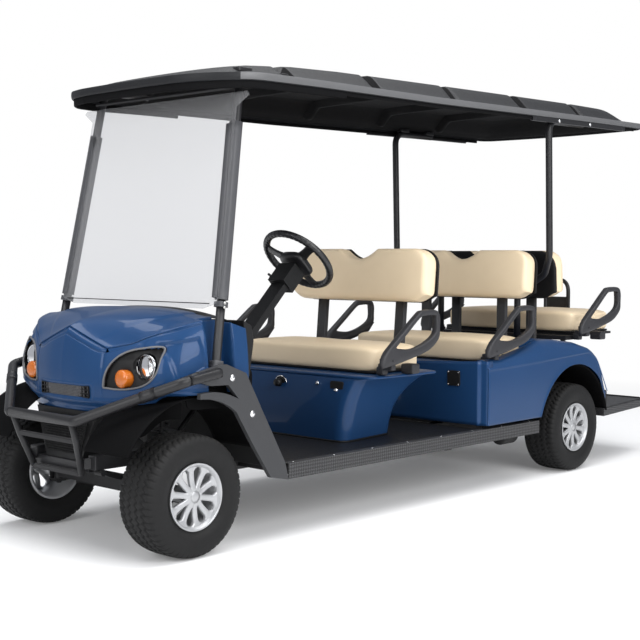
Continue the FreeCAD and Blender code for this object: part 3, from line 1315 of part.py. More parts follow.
def lower_fascia():
    """The black tray below the nose, narrower at its foot, with a barred opening."""
    x = front_axle + s.fascia_x
    wall = value_of(s.fascia_wall)
    top = s.cowl_low - s.fit_gap

    def hull(inset, lift):
        rings = []
        for height, half, setback in ((s.fascia_low, s.fascia_low_half_width, 0),
                                      (top, s.fascia_top_half_width, 14)):
            high = value_of(x) - setback - inset
            low = value_of(x) - value_of(s.fascia_depth)
            side = value_of(half) - inset
            z = value_of(height) + (lift if height is top else -lift)
            corners = [Vector(low, -side - 0.4 * 60, z), Vector(high, -side, z), Vector(high, side, z),
                       Vector(low, side + 0.4 * 60, z)]
            rings.append(Part.makePolygon(corners + corners[:1]))
        return Part.makeLoft(rings, True, True)
    shell = hull(0, 0).cut(hull(wall, 0).translated(Vector(-wall, 0, 0)))
    mid = (s.fascia_low + top) / 2
    for index in range(4):
        z = mid - 60 + 26 * index
        slot = block_shape((x - 60, x + 20), (-s.fascia_low_half_width, s.fascia_low_half_width), (z, z + 16))
        shell = shell.cut(slot)
    solids = sorted(shell.Solids, key=lambda solid: solid.Volume)
    shape_node("lower_fascia", solids[-1])


def brush_guard():
    """The bull bar: a cranked top tube, two cross bars and two legs that return to the rails."""
    x = front_axle
    end_y = s.guard_end_half_width
    front = s.front_overhang - s.guard_tube / math.cos(math.pi / TUBE_FLATS)
    tip = x + 4 + s.fit_gap
    top = tube_shape([
        (tip, end_y, s.guard_end_z), (tip + 26, end_y, s.guard_end_z),
        (x + front, s.guard_half_width, s.guard_z), (x + front, -s.guard_half_width, s.guard_z),
        (tip + 26, -end_y, s.guard_end_z), (tip, -end_y, s.guard_end_z)],
        s.guard_tube, s.guard_bend * 0.4)
    leg_top = (x + front, s.guard_half_width - 25, s.guard_z)
    leg_mid = (x + s.guard_mid_x, s.guard_mid_half_width, s.guard_mid_z)
    leg_low = (x + s.guard_low_x, s.guard_low_half_width, s.guard_low_z)
    leg = tube_shape([leg_top, leg_mid, leg_low], s.guard_leg_tube, s.guard_bend)
    bars = [rod_between(mirror_point(point), point, s.guard_bar_tube) for point in (leg_mid, leg_low)]
    rail = s.rail_half_track
    bracket = block_shape((x + s.rail_front_reach + s.fit_gap, x + s.guard_low_x + 12),
                          (rail - s.rail_width / 2, rail - 5), (s.kick_low + 5, s.kick_high - 10))
    whole = top.multiFuse([leg, mirrored(leg), bracket, mirrored(bracket)] + bars)
    shape_node("brush_guard", whole)


def mirror_point(point):
    """A point on the other side of the cart."""
    return (point[0], -point[1], point[2])


def rod_between(start, end, radius):
    """A round bar from one point to another."""
    first = Vector(*[value_of(number) for number in start])
    last = Vector(*[value_of(number) for number in end])
    return Part.makeCylinder(value_of(radius), (last - first).Length, first, last - first)


# Driver's controls
def steering():
    """The steering wheel, and the column that carries it from the dashboard."""
    hub = (front_axle - s.wheel_x, s.wheel_y, s.wheel_z)
    ring_radius = s.wheel_outer_radius - s.wheel_grip_radius
    ring = new_body("wheel_ring")
    long, short = s.wheel_grip_radius * s.octagon_long, s.wheel_grip_radius * s.octagon_short
    revolve(ring, "XZ_Plane", "wheel_ring_turn", [
        (ring_radius + long, -short), (ring_radius + long, short), (ring_radius + short, long),
        (ring_radius - short, long), (ring_radius - long, short), (ring_radius - long, -short),
        (ring_radius - short, -long), (ring_radius + short, -long)], "V_Axis")
    pieces = [ring, rod("wheel_hub", s.wheel_hub_radius, s.wheel_hub_height, 0, 0, -s.wheel_hub_depth)]
    corner = Vector(0, value_of(-s.wheel_spoke_half_width), value_of(-s.wheel_spoke_low))
    for index, angle in enumerate((0, 120, 240)):
        spoke = box(f"wheel_spoke_{index}", (0, ring_radius),
                    (-s.wheel_spoke_half_width, s.wheel_spoke_half_width),
                    (-s.wheel_spoke_low, -s.wheel_spoke_high))
        spoke.Placement = FreeCAD.Placement(Vector(), FreeCAD.Rotation(Vector(0, 0, 1), angle)) \
            .multiply(FreeCAD.Placement(corner, FreeCAD.Rotation()))
        for direction in "xyz":
            spoke.setExpression(f"Placement.Base.{direction}", None)
        pieces.append(spoke)
    wheel_set = fuse("steering_wheel_joined", pieces)
    place(wheel_set, hub[0], hub[1], hub[2], (0, 1, 0), -s.column_tilt)
    keep("steering_wheel", wheel_set)
    top = -s.wheel_hub_depth - s.fit_gap
    cover = box("column_cover", (-s.column_depth / 2, s.column_depth / 2),
                (-s.column_width / 2, s.column_width / 2), (top - s.column_length, top - s.column_start))
    shaft = rod("column_shaft", s.shaft_radius, s.shaft_length, 0, 0, top - s.shaft_length)
    pod = box("column_pod", (-s.column_pod_low, s.column_pod_high),
              (-s.column_pod_half_width, s.column_pod_half_width),
              (top - s.column_pod_end, top - s.column_pod_start))
    column = fuse("column_joined", [cover, shaft, pod])
    place(column, hub[0], hub[1], hub[2], (0, 1, 0), -s.column_tilt)
    gear = box("steering_gear", (front_axle - s.gear_back, front_axle - s.gear_front),
               (s.wheel_y - s.gear_inner, s.wheel_y + s.gear_outer),
               (s.kick_high + s.fit_gap, s.kick_high + s.gear_height))
    keep("steering_column", fuse("column_and_gear", [column, gear]))


def pedals():
    """Two pedals on the floor ahead of the driver's seat."""
    pieces = []
    half, wide = s.pedal_foot_half, s.pedal_half_width
    for name, y in (("accelerator", s.accelerator_y), ("brake", s.brake_y)):
        foot = box(f"{name}_foot", (front_axle - s.pedal_x - half, front_axle - s.pedal_x + half),
                   (y - s.pedal_foot_half_width, y + s.pedal_foot_half_width),
                   (s.floor_top + s.fit_gap, s.floor_top + s.pedal_foot_height))
        face = box(f"{name}_face", (0, s.pedal_thickness), (-wide, wide), (0, s.pedal_height))
        place(face, front_axle - s.pedal_x, y - wide, s.floor_top + s.pedal_sink, (0, 1, 0), s.pedal_tilt)
        pieces += [foot, face]
    keep("pedals", fuse("pedals_joined", pieces))


def check_and_write():
    """Stops on any failed object or bad shape, then writes each sub-part to its own file."""
    doc.recompute()
    failed = [item.Name for item in doc.Objects if {"Invalid", "Error"} & set(item.State)]
    if failed:
        raise RuntimeError(f"objects that did not build: {failed}")
    for name, piece in NODES.items():
        shape = piece.Shape
        if shape.isNull() or not shape.isValid() or not shape.Solids:
            raise RuntimeError(f"{name} has no valid solid")
    os.makedirs("parts", exist_ok=True)
    for name, piece in NODES.items():
        piece.Shape.exportStep(os.path.join("parts", f"{name}.step"))


wheels()
left_knuckle = knuckle("left_knuckle", 1)
right_knuckle = knuckle("right_knuckle", -1)
tie_rod()
front_axle_beam()
rear_axle_tube()
frame()
floor()
rocker()
front_seat_pod()
seats()
armrests()
rear_body()
powertrain()
bench_frame()
grab_hoop()
rear_step()
side_braces()
canopy_struts()
canopy()
windscreen()
front_cowl()
lamps()
nose_grille()
dashboard()
lower_fascia()
brush_guard()
steering()
pedals()
check_and_write()
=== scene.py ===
"""Looks of a six-seat stretched golf cart, in metres: +X forward, +Y left, +Z up, ground at z 0."""

import json
import math

import bpy
import numpy as np
from mathutils import Matrix, Vector


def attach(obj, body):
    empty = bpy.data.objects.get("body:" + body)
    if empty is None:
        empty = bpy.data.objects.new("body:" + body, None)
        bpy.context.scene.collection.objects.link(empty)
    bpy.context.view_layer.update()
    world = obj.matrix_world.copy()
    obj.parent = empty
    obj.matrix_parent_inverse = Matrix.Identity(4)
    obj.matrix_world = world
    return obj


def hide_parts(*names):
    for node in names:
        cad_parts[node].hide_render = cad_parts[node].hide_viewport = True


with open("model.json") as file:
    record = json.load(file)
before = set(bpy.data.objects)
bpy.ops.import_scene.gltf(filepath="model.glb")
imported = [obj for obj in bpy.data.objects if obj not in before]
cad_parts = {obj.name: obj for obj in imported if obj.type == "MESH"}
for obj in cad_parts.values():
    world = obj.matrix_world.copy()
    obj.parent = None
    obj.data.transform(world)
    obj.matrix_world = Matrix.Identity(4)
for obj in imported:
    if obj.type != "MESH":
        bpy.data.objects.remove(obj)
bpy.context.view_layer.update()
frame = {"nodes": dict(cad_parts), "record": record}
CAD = frame["nodes"]
# From the frame: where each joint stands, the two axles along the cart, and a wheel's place across and up
JOINTS = {joint["name"]: joint.get("pos_m") for joint in frame["record"]["behaviour"]["joints"]}
XF, WHEEL_ACROSS, AXLE_HEIGHT = JOINTS["front_left_wheel_spin"]
XR = JOINTS["rear_left_wheel_spin"][0]
# Heights of the two seat boards and the bench, and of a cushion
SEAT_LOW, BENCH_LOW, CUSHION_HEIGHT = 0.6643, 0.7863, 0.138
# A seat back: half its width, its height, and the height above the ground at which it starts
BACK_HALF, BACK_RISE, BACK_LOW = 0.470, 0.266, 1.012
# Front end and height of the foot of each armrest
ARMRESTS = ((XF - 1.150, SEAT_LOW), (XR + 0.890, SEAT_LOW), (XR - 0.040, 0.7523))
# Ends of a front strut's straight run, half the roof's width, and the rear arch's middle
STRUT_FOOT, STRUT_TOP = (XF - 0.125, 0.5607, 0.758), (XF - 0.3461, 0.4725, 2.0123)
ROOF_HALF = 0.602
ARCH_X, ARCH_Z = 0.031, 0.247


# Materials
def wiring(tree):
    """Two helpers for a node tree: fill sets a node's inputs, and add makes a node and returns its outputs."""
    def fill(node, inputs):
        """Links an input to the output given for it, or else sets its value."""
        for key, value in inputs.items():
            if isinstance(value, bpy.types.NodeSocket):
                tree.links.new(value, node.inputs[key])
            else:
                node.inputs[key].default_value = value

    def add(kind, inputs, **settings):
        """A node of a kind, its settings made before its inputs."""
        node = tree.nodes.new("ShaderNode" + kind)
        for key, value in settings.items():
            setattr(node, key, value)
        fill(node, inputs)
        return node.outputs
    return fill, add


def shader_of(name):
    """A new material, its shader, object coordinates and the two helpers."""
    material = bpy.data.materials.new(name)
    material.use_nodes = True
    fill, add = wiring(material.node_tree)
    return material, material.node_tree.nodes["Principled BSDF"], add("TexCoord", {})["Object"], fill, add


def surface(name, colour, rough=0.5, metal=0.0, grain=0.0, grain_scale=900.0, mottle=0.06, mottle_scale=14.0,
            coat=0.0, specular=0.5, rough_spread=0.08, upward_pale=0.0):
    """A surface whose colour and roughness drift with noise and whose grain is a fine bump."""
    material, shader, where, fill, add = shader_of(name)
    drift = add("TexNoise", {"Vector": where, "Scale": mottle_scale, "Detail": 4.0})["Fac"]
    dark = [c * (1 - mottle) for c in colour] + [1]
    light = [min(1, c * (1 + mottle)) for c in colour] + [1]
    tone = add("Mix", {0: drift, 6: dark, 7: light}, data_type="RGBA")[2]
    # Faces that point up are drifted toward pale grey, the more the more they point up.
    if upward_pale:
        up = add("SeparateXYZ", {0: add("NewGeometry", {})["Normal"]})["Z"]
        level = add("MapRange", {"From Min": 0.2, "From Max": 1.0, "To Max": upward_pale, "Value": up})["Result"]
        tone = add("Mix", {0: level, 6: tone, 7: (0.35, 0.34, 0.32, 1)}, data_type="RGBA")[2]
    fine = add("TexNoise", {"Vector": where, "Scale": mottle_scale * 5, "Detail": 3.0})["Fac"]
    low, high = max(0.02, rough - rough_spread), min(1.0, rough + rough_spread)
    spread = add("MapRange", {"To Min": low, "To Max": high, "Value": fine})["Result"]
    fill(shader, {"Base Color": tone, "Roughness": spread, "Metallic": metal, "Coat Weight": coat,
                  "Coat Roughness": 0.04, "Specular IOR Level": specular})
    if grain:
        pebble = add("TexNoise", {"Vector": where, "Scale": grain_scale, "Detail": 2.0})["Fac"]
        bump = add("Bump", {"Strength": grain, "Distance": 0.0006, "Height": pebble})["Normal"]
        fill(shader, {"Normal": bump})
    return material


def metallic_paint():
    """Blue metallic paint: fine flake in the normal and colour below a clear coat."""
    material, shader, where, fill, add = shader_of("blue_metallic")
    flake = add("TexVoronoi", {"Vector": where, "Scale": 2600.0})
    drift = add("TexNoise", {"Vector": where, "Scale": 3.0, "Detail": 3.0})["Fac"]
    base = add("Mix", {0: drift, 6: (0.011, 0.046, 0.132, 1), 7: (0.0145, 0.055, 0.152, 1)}, data_type="RGBA")[2]
    sparkle = add("Mix", {0: 0.25, 6: base, 7: flake["Color"]}, data_type="RGBA", blend_type="MULTIPLY")[2]
    bump = add("Bump", {"Strength": 0.05, "Distance": 0.0002, "Height": flake["Distance"]})["Normal"]
    fill(shader, {"Base Color": sparkle, "Normal": bump, "Metallic": 0.10, "Roughness": 0.38,
                  "Specular IOR Level": 0.10, "Coat Weight": 0.28, "Coat Roughness": 0.03})
    return material


def vinyl():
    """Beige seat vinyl: pebbled grain over slight creases and tone drift."""
    material, shader, where, fill, add = shader_of("beige_vinyl")
    drift = add("TexNoise", {"Vector": where, "Scale": 7.0, "Detail": 4.0})["Fac"]
    tone = add("Mix", {0: drift, 6: (0.74, 0.595, 0.402, 1), 7: (0.82, 0.670, 0.465, 1)}, data_type="RGBA")[2]
    pebble = add("TexVoronoi", {"Vector": where, "Scale": 520.0})["Distance"]
    bump = add("Bump", {"Strength": 0.22, "Distance": 0.0005, "Height": pebble})["Normal"]
    crease = add("TexNoise", {"Vector": where, "Scale": 16.0, "Detail": 3.0})["Fac"]
    soft = add("Bump", {"Strength": 0.12, "Distance": 0.004, "Height": crease, "Normal": bump})["Normal"]
    fill(shader, {"Base Color": tone, "Normal": soft, "Roughness": 0.46})
    return material


def clear(name):
    """Clear plastic whose roughness drifts a little."""
    material, shader, where, fill, add = shader_of(name)
    smear = add("TexNoise", {"Vector": where, "Scale": 9.0, "Detail": 5.0})["Fac"]
    spread = add("MapRange", {"To Min": 0.0, "To Max": 0.03, "Value": smear})["Result"]
    fill(shader, {"Roughness": spread, "Base Color": (1, 1, 1, 1), "Transmission Weight": 1.0, "IOR": 1.49})
    return material


def hazed_pane():
    """Lightly tinted acrylic: mostly seen through, with a thin pale veil whose strength drifts."""
    material, shader, where, fill, add = shader_of("screen_clear")
    smear = add("TexNoise", {"Vector": where, "Scale": 3.0, "Detail": 3.0})["Fac"]
    veil = add("MapRange", {"To Min": 0.095, "To Max": 0.115, "Value": smear})["Result"]
    through = add("BsdfTransparent", {"Color": (0.855, 0.858, 0.868, 1)})[0]
    fill(shader, {"Base Color": (0.86, 0.86, 0.87, 1), "Roughness": 0.25})
    mix = add("MixShader", {0: veil, 1: through, 2: shader.outputs[0]})[0]
    fill(material.node_tree.nodes["Material Output"], {"Surface": mix})
    return material


def tread_plate():
    """Black plastic with a diamond tread: height is the product of two diagonal sine waves."""
    material, shader, where, fill, add = shader_of("tread_plastic")
    split = add("SeparateXYZ", {0: where})
    rise = add("Math", {0: split["Z"], 1: split["Y"]}, operation="SUBTRACT")[0]
    waves = []
    for kind in ("ADD", "SUBTRACT"):
        mixed = add("Math", {0: split["X"], 1: rise}, operation=kind)[0]
        scaled = add("Math", {0: mixed, 1: 210.0}, operation="MULTIPLY")[0]
        waves.append(add("Math", {0: scaled}, operation="SINE")[0])
    product = add("Math", dict(enumerate(waves)), operation="MULTIPLY")[0]
    level = add("MapRange", {"From Min": -0.2, "From Max": 0.5, "Value": product})["Result"]
    tone = add("Mix", {0: level, 6: (0.010, 0.010, 0.011, 1), 7: (0.050, 0.050, 0.053, 1)}, data_type="RGBA")[2]
    bump = add("Bump", {"Strength": 0.9, "Distance": 0.003, "Height": level})["Normal"]
    fill(shader, {"Base Color": tone, "Normal": bump, "Roughness": 0.5})
    return material


PAINT = metallic_paint()
# Lighter blue for the rear body's crease bead and front post: a painted highlight on those edges.
CREASE_HIGHLIGHT_PAINT = surface("edge_paint", (0.060, 0.115, 0.235), 0.3, metal=0.1, coat=0.5)
VINYL = vinyl()
TEXTURED = surface("textured_plastic", (0.007, 0.007, 0.0075), 0.5, grain=0.5, grain_scale=1400, specular=0.25)
ARM = surface("armrest_plastic", (0.024, 0.024, 0.027), 0.48, grain=0.4, grain_scale=1500, specular=0.35)
ROOF = surface("roof_plastic", (0.014, 0.0145, 0.016), 0.5, grain=0.5, grain_scale=1100, specular=0.2)
STEEL = surface("black_powder", (0.013, 0.013, 0.0145), 0.4, grain=0.25, grain_scale=1800, specular=0.35)
SLEEVE = surface("sleeve_grey", (0.060, 0.061, 0.066), 0.45, grain=0.25, grain_scale=1800, specular=0.35)
IRON = surface("dark_iron", (0.012, 0.012, 0.013), 0.6, metal=0.3, grain=0.6, grain_scale=260, upward_pale=0.1)
TYRE = surface("tyre_rubber", (0.010, 0.010, 0.0103), 0.62, grain=0.4, grain_scale=700, upward_pale=0.03, specular=0.2)
ALLOY = surface("wheel_alloy", (0.40, 0.405, 0.415), 0.36, metal=0.45, coat=0.3, mottle=0.03, grain=0.1,
                grain_scale=1200)
CHROME = surface("bright_metal", (0.75, 0.75, 0.76), 0.14, metal=1.0, mottle=0.02, rough_spread=0.04)
ZINC = surface("zinc", (0.52, 0.52, 0.5), 0.35, metal=1.0)
# A darker copy of the roof plastic for its underside, grooves, front skirt and drip rails: painted shade.
ROOF_SHADE = surface("roof_underside", (0.006, 0.006, 0.0065), 0.7, grain=0.4, grain_scale=900, specular=0.05)
ROOF_EDGE = surface("roof_edge", (0.100, 0.101, 0.104), 0.45, grain=0.3, grain_scale=1100)
BRACE = surface("brace_plastic", (0.037, 0.038, 0.041), 0.5, grain=0.5, grain_scale=1400, specular=0.3)
# Near-black and almost without sheen: painted shade for the wheel wells, the hollows behind the nose's lip and the
# grille, and the front arches' inner plates.
SHADED_LINER = surface("arch_liner", (0.0035, 0.0035, 0.0038), 0.75, grain=0.5, grain_scale=600, specular=0.05)
REFLECTOR = surface("lamp_reflector", (0.52, 0.53, 0.55), 0.22, metal=1.0)
GLOSS_GREY = surface("rim_grip", (0.010, 0.010, 0.011), 0.34, grain=0.3, grain_scale=1600)
GREY_TRIM = surface("grey_trim", (0.11, 0.11, 0.115), 0.4)
GLOSS_BLACK = surface("gloss_black", (0.006, 0.006, 0.007), 0.12, coat=0.6)
PLATE = surface("plate_blank", (0.012, 0.012, 0.013), 0.35, mottle=0.03)
TREAD = tread_plate()
AMBER = surface("amber_lens", (0.50, 0.125, 0.010), 0.2, mottle=0.1, coat=0.5)
LENS = clear("lamp_lens")
SCREEN = hazed_pane()

SLOTS = {"blue_paint": PAINT, "beige_vinyl": VINYL, "black_plastic": TEXTURED, "roof_plastic": ROOF,
         "black_steel": STEEL, "dark_iron": IRON, "tyre_rubber": TYRE, "wheel_alloy": ALLOY,
         "clear_screen": SCREEN, "lamp_lens": LENS, "amber_lens": AMBER}
for part in frame["record"]["subparts"]:
    node = CAD[part["node"]]
    node.data.materials.clear()
    node.data.materials.append(SLOTS[part["material_slot"]])


# Surface building: every form below is a function of two parameters sampled on a grid
def grid(points, close_u=False, close_v=False):
    """Vertices and quads of a surface sampled as an m by n by 3 array, joined up where it closes."""
    rows, columns = points.shape[:2]
    index = np.arange(rows * columns).reshape(rows, columns)
    if close_u:
        index = np.vstack([index, index[:1]])
    if close_v:
        index = np.hstack([index, index[:, :1]])
    quads = np.stack([index[:-1, :-1], index[1:, :-1], index[1:, 1:], index[:-1, 1:]], -1).reshape(-1, 4)
    return points.reshape(-1, 3), quads


def outward(part):
    """The same part with its faces turned away from its middle."""
    spots, quads = part
    middle = spots.mean(0)
    a, b, c, d = (spots[quads[:, k]] - middle for k in range(4))
    volume = (a * np.cross(b, c)).sum() + (a * np.cross(c, d)).sum()
    return (spots, quads[:, ::-1]) if volume < 0 else part


def piece(name, parts, material, body="chassis", stands_for=(), smooth=True, turned=True):
    """One object made of several parts, riding on a body, in the place of some CAD nodes."""
    offset, spots, quads = 0, [], []
    for part in parts:
        part = outward(part) if turned else part
        spots.append(part[0])
        quads.append(part[1] + offset)
        offset += len(part[0])
    mesh = bpy.data.meshes.new(name)
    mesh.from_pydata(np.vstack(spots).tolist(), [], np.vstack(quads).tolist())
    if smooth:
        mesh.shade_smooth()
    made = bpy.data.objects.new(name, mesh)
    bpy.context.scene.collection.objects.link(made)
    made.data.materials.append(material)
    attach(made, body)
    if stands_for:
        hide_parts(*stands_for)
    return made


def both(parts):
    """The parts and their mirror images on the other side of the cart."""
    flip = np.array((1, -1, 1))
    return list(parts) + [(spots * flip, quads[:, ::-1]) for spots, quads in parts]


def curve(points, count):
    """count places along a smooth curve through points, a cubic from each knot to the next, evenly spread."""
    knots = np.array(points, float)
    knots = np.vstack([2 * knots[0] - knots[1], knots, 2 * knots[-1] - knots[-2]])
    spread = np.linspace(0, len(points) - 1 - 1e-9, count)
    cell = spread.astype(int)
    t = (spread - cell)[:, None]
    a, b, c, d = (knots[cell + k] for k in range(4))
    return 0.5 * (2 * b + (c - a) * t + (2 * a - 5 * b + 4 * c - d) * t ** 2 + (3 * b - 3 * c + d - a) * t ** 3)


def ease(value, low, high):
    """0 below low, 1 above high, and smooth between them."""
    t = np.clip((value - low) / (high - low), 0, 1)
    return t * t * (3 - 2 * t)


def power(value, exponent):
    """A signed power, for superellipses."""
    return np.sign(value) * np.abs(value) ** exponent


def route(points, bend, steps=9):
    """Straight runs joined by round bends, as dense points."""
    knots = np.array(points, float)
    path = [knots[:1]]
    for before, corner, after in zip(knots, knots[1:], knots[2:]):
        arrive = (corner - before) / np.linalg.norm(corner - before)
        leave = (after - corner) / np.linalg.norm(after - corner)
        turn = math.acos(np.clip(arrive @ leave, -1, 1))
        shorter = min(np.linalg.norm(corner - before), np.linalg.norm(after - corner))
        back = min(bend * math.tan(turn / 2), 0.48 * shorter)
        t = np.linspace(0, 1, steps)[:, None]
        first, last = corner - arrive * back, corner + leave * back
        path.append(first * (1 - t) ** 2 + 2 * corner * t * (1 - t) + last * t ** 2)
    path.append(knots[-1:])
    return np.vstack(path)


def ring_section(radius, sides=20):
    """A round section."""
    angle = np.arange(sides) * 2 * math.pi / sides
    return np.stack([np.cos(angle), np.sin(angle)], -1) * radius


def block_section(wide, high, exponent=0.35, sides=28):
    """A rounded rectangle as a superellipse, wide across and high."""
    angle = np.arange(sides) * 2 * math.pi / sides
    return np.stack([power(np.cos(angle), exponent) * wide / 2, power(np.sin(angle), exponent) * high / 2], -1)


def sweep(path, section, up=(0, 1, 0), closed=False, scale=None):
    """A section carried along a path, its first axis kept as near to up as the path allows, ends capped."""
    ahead = np.gradient(path, axis=0)
    if closed:
        ahead = np.roll(path, -1, 0) - np.roll(path, 1, 0)
    ahead /= np.linalg.norm(ahead, axis=1)[:, None] + 1e-12
    side = np.array(up, float) - ahead * (ahead @ np.array(up, float))[:, None]
    for row in range(1, len(side)):
        if np.linalg.norm(side[row]) < 1e-3:
            side[row] = side[row - 1]
    side /= np.linalg.norm(side, axis=1)[:, None] + 1e-12
    other = np.cross(ahead, side)
    size = np.ones(len(path)) if scale is None else np.array(scale)
    points = path[:, None] + size[:, None, None] * (
        section[None, :, :1] * side[:, None] + section[None, :, 1:] * other[:, None])
    spots, quads = grid(points, closed, True)
    if not closed:
        count, total = len(section), len(spots)
        first = np.arange(count)
        last = total - count + first
        caps = [np.stack([np.roll(row, -1), row, np.full(count, total + k), np.full(count, total + k)], -1)
                for k, row in enumerate((first, last))]
        spots = np.vstack([spots, path[:1], path[-1:]])
        quads = np.vstack([quads] + caps)
    return spots, quads


def tube(points, radius, bend=0.05, sides=20):
    """A round tube along straight runs with round bends."""
    return sweep(route(points, bend), ring_section(radius, sides))


def lathe(profile, place=(0, 0, 0), steps=96, axis=(0, 1, 0), closed=True):
    """A profile of (radius, along) turned about an axis through a place."""
    profile = np.array(profile, float)
    axis = np.array(axis, float) / np.linalg.norm(axis)
    side = np.cross(axis, (0.31, 0.11, 0.95))
    side /= np.linalg.norm(side)
    other = np.cross(axis, side)
    angle = np.arange(steps) * 2 * math.pi / steps
    round_ = np.cos(angle)[:, None] * side + np.sin(angle)[:, None] * other
    points = np.array(place) + profile[None, :, :1] * round_[:, None] + profile[None, :, 1:] * axis
    return grid(points, True, closed)


def cushion_form(low, high, plan=0.25, rise=0.4, count=(96, 48)):
    """A soft block between two corners: a superellipsoid, flatter the nearer its exponents are to 0."""
    low, high = np.array(low, float), np.array(high, float)
    u = np.linspace(-math.pi, math.pi, count[0], endpoint=False)[:, None]
    v = np.linspace(-math.pi / 2, math.pi / 2, count[1])[None, :]
    unit = np.stack([power(np.cos(v), rise) * power(np.cos(u), plan), power(np.cos(v), rise) * power(np.sin(u), plan),
                     power(np.sin(v), rise) * np.ones_like(u)], -1)
    return grid((low + high) / 2 + unit * (high - low) / 2, True)


def bolt(place, axis, radius=0.008, height=0.006):
    """A domed six-sided bolt head on a washer."""
    head = lathe([(0, height), (radius * 0.7, height), (radius, height * 0.75), (radius, 0.0015), (radius, 0.001)],
                 place, 6, axis, False)
    washer = lathe([(radius * 1.35, 0), (radius * 1.35, 0.0015), (0, 0.0015)], place, 20, axis, False)
    return [head, washer]


# Tyres and wheels
def tyre_form(side):
    """A tyre about the origin: r(y) through the sidewall's knots, less zigzag grooves and shoulder slots."""
    steps = 432
    knots = [(0.0897, 0.1395), (0.0925, 0.148), (0.100, 0.160), (0.1062, 0.180), (0.1072, 0.200), (0.1045, 0.222),
             (0.098, 0.238), (0.090, 0.2475)]
    side_line = curve(knots, 14)[:-1]
    reach = np.linspace(0.090, -0.090, 46)
    crown = 0.2540 - 0.0065 * np.clip(np.abs(reach) / 0.090, 0, 1) ** 4
    line = np.vstack([side_line, np.stack([reach, crown], -1), side_line[::-1] * (-1, 1)])
    across, radius = line[:, 0], line[:, 1]
    turn = np.arange(steps)[:, None] * 2 * math.pi / steps
    wave = 2 / math.pi * np.arcsin(np.sin(turn * 54))
    groove = np.zeros((steps, len(line)))
    for place, shift in ((-0.058, 1), (-0.020, -1), (0.020, 1), (0.058, -1)):
        distance = np.abs(across - place - shift * 0.0085 * wave)
        groove = np.maximum(groove, 1 - ease(distance, 0.0036, 0.0058))
    slot_wave = np.abs(np.sin(turn * 27 + np.where(across > 0, 0.0, 1.2) + across * 20))
    shoulder = ease(np.abs(across), 0.064, 0.070) * (1 - ease(np.abs(across), 0.098, 0.103))
    groove = np.maximum(groove, shoulder * (1 - ease(slot_wave, 0.16, 0.34)))
    tread = ease(radius, 0.226, 0.240)
    bead = 0.0012 * (np.exp(-((radius - 0.152) / 0.0022) ** 2) + np.exp(-((radius - 0.214) / 0.0016) ** 2))
    depth = groove * tread * 0.0062
    radius = radius - depth * ease(radius, 0.20, 0.25)
    y = across + np.sign(across) * bead
    points = np.stack([radius * np.cos(turn), y * side * np.ones_like(turn), radius * np.sin(turn)], -1)
    return grid(points, True)


def wheel_form(side):
    """A wheel about the origin: barrel, ten bowed spokes that flare into the rim, hub and cap."""
    rim = [(0.139, 0.097), (0.1365, 0.0985), (0.132, 0.0965), (0.1275, 0.090), (0.1245, 0.086), (0.1205, 0.080),
           (0.1195, 0.03), (0.1195, -0.088), (0.131, -0.0965), (0.139, -0.097), (0.139, -0.090), (0.1267, -0.088),
           (0.1267, 0.088), (0.139, 0.090)]
    parts = [lathe(rim, steps=120)]
    radius = np.linspace(0.026, 0.1245, 30)
    width = 0.0112 + 0.0030 * (radius / 0.1) + 0.024 * ease(radius, 0.100, 0.1245) ** 1.6
    width = width + 0.004 * (1 - ease(radius, 0.030, 0.052))
    face = 0.0745 - 0.006 * np.sin(math.pi * np.clip((radius - 0.03) / 0.095, 0, 1))
    angle = np.arange(18) * 2 * math.pi / 18
    for spoke in range(10):
        heading = spoke * math.pi / 5 + 0.2
        out = np.array((math.cos(heading), 0, math.sin(heading)))
        over = np.array((-math.sin(heading), 0, math.cos(heading)))
        crown = power(np.sin(angle), 0.6)[None, :, None]
        aside = width[:, None, None] * power(np.cos(angle), 0.55)[None, :, None]
        points = radius[:, None, None] * out + aside * over
        points = points + (face[:, None, None] + 0.0105 * crown) * np.array((0, 1, 0))
        parts.append(grid(points, False, True))
    hub = [(0, 0.088), (0.017, 0.0875), (0.0205, 0.0855), (0.0215, 0.083), (0.024, 0.0828), (0.034, 0.081),
           (0.039, 0.076), (0.039, 0.060), (0.034, 0.056), (0.0165, 0.05), (0.0165, -0.078), (0.034, -0.078),
           (0.034, 0.04)]
    parts.append(lathe(hub, steps=64, closed=False))
    return [(spots * (1, side, 1), quads) for spots, quads in parts]


def rolling_stock():
    """The four tyres and wheels in place."""
    for end, x in (("front", XF), ("rear", XR)):
        for hand, side in (("left", 1), ("right", -1)):
            spot = np.array((x, side * WHEEL_ACROSS, AXLE_HEIGHT))
            body = f"{end}_{hand}_wheel"
            spots, quads = tyre_form(side)
            piece(f"{end}_{hand}_tyre_treaded", [(spots + spot, quads)], TYRE, body,
                  (f"{end}_{hand}_tyre",))
            parts = [(spots + spot, quads) for spots, quads in wheel_form(side)]
            piece(f"{end}_{hand}_wheel_spoked", parts, ALLOY, body, (f"{end}_{hand}_wheel",))


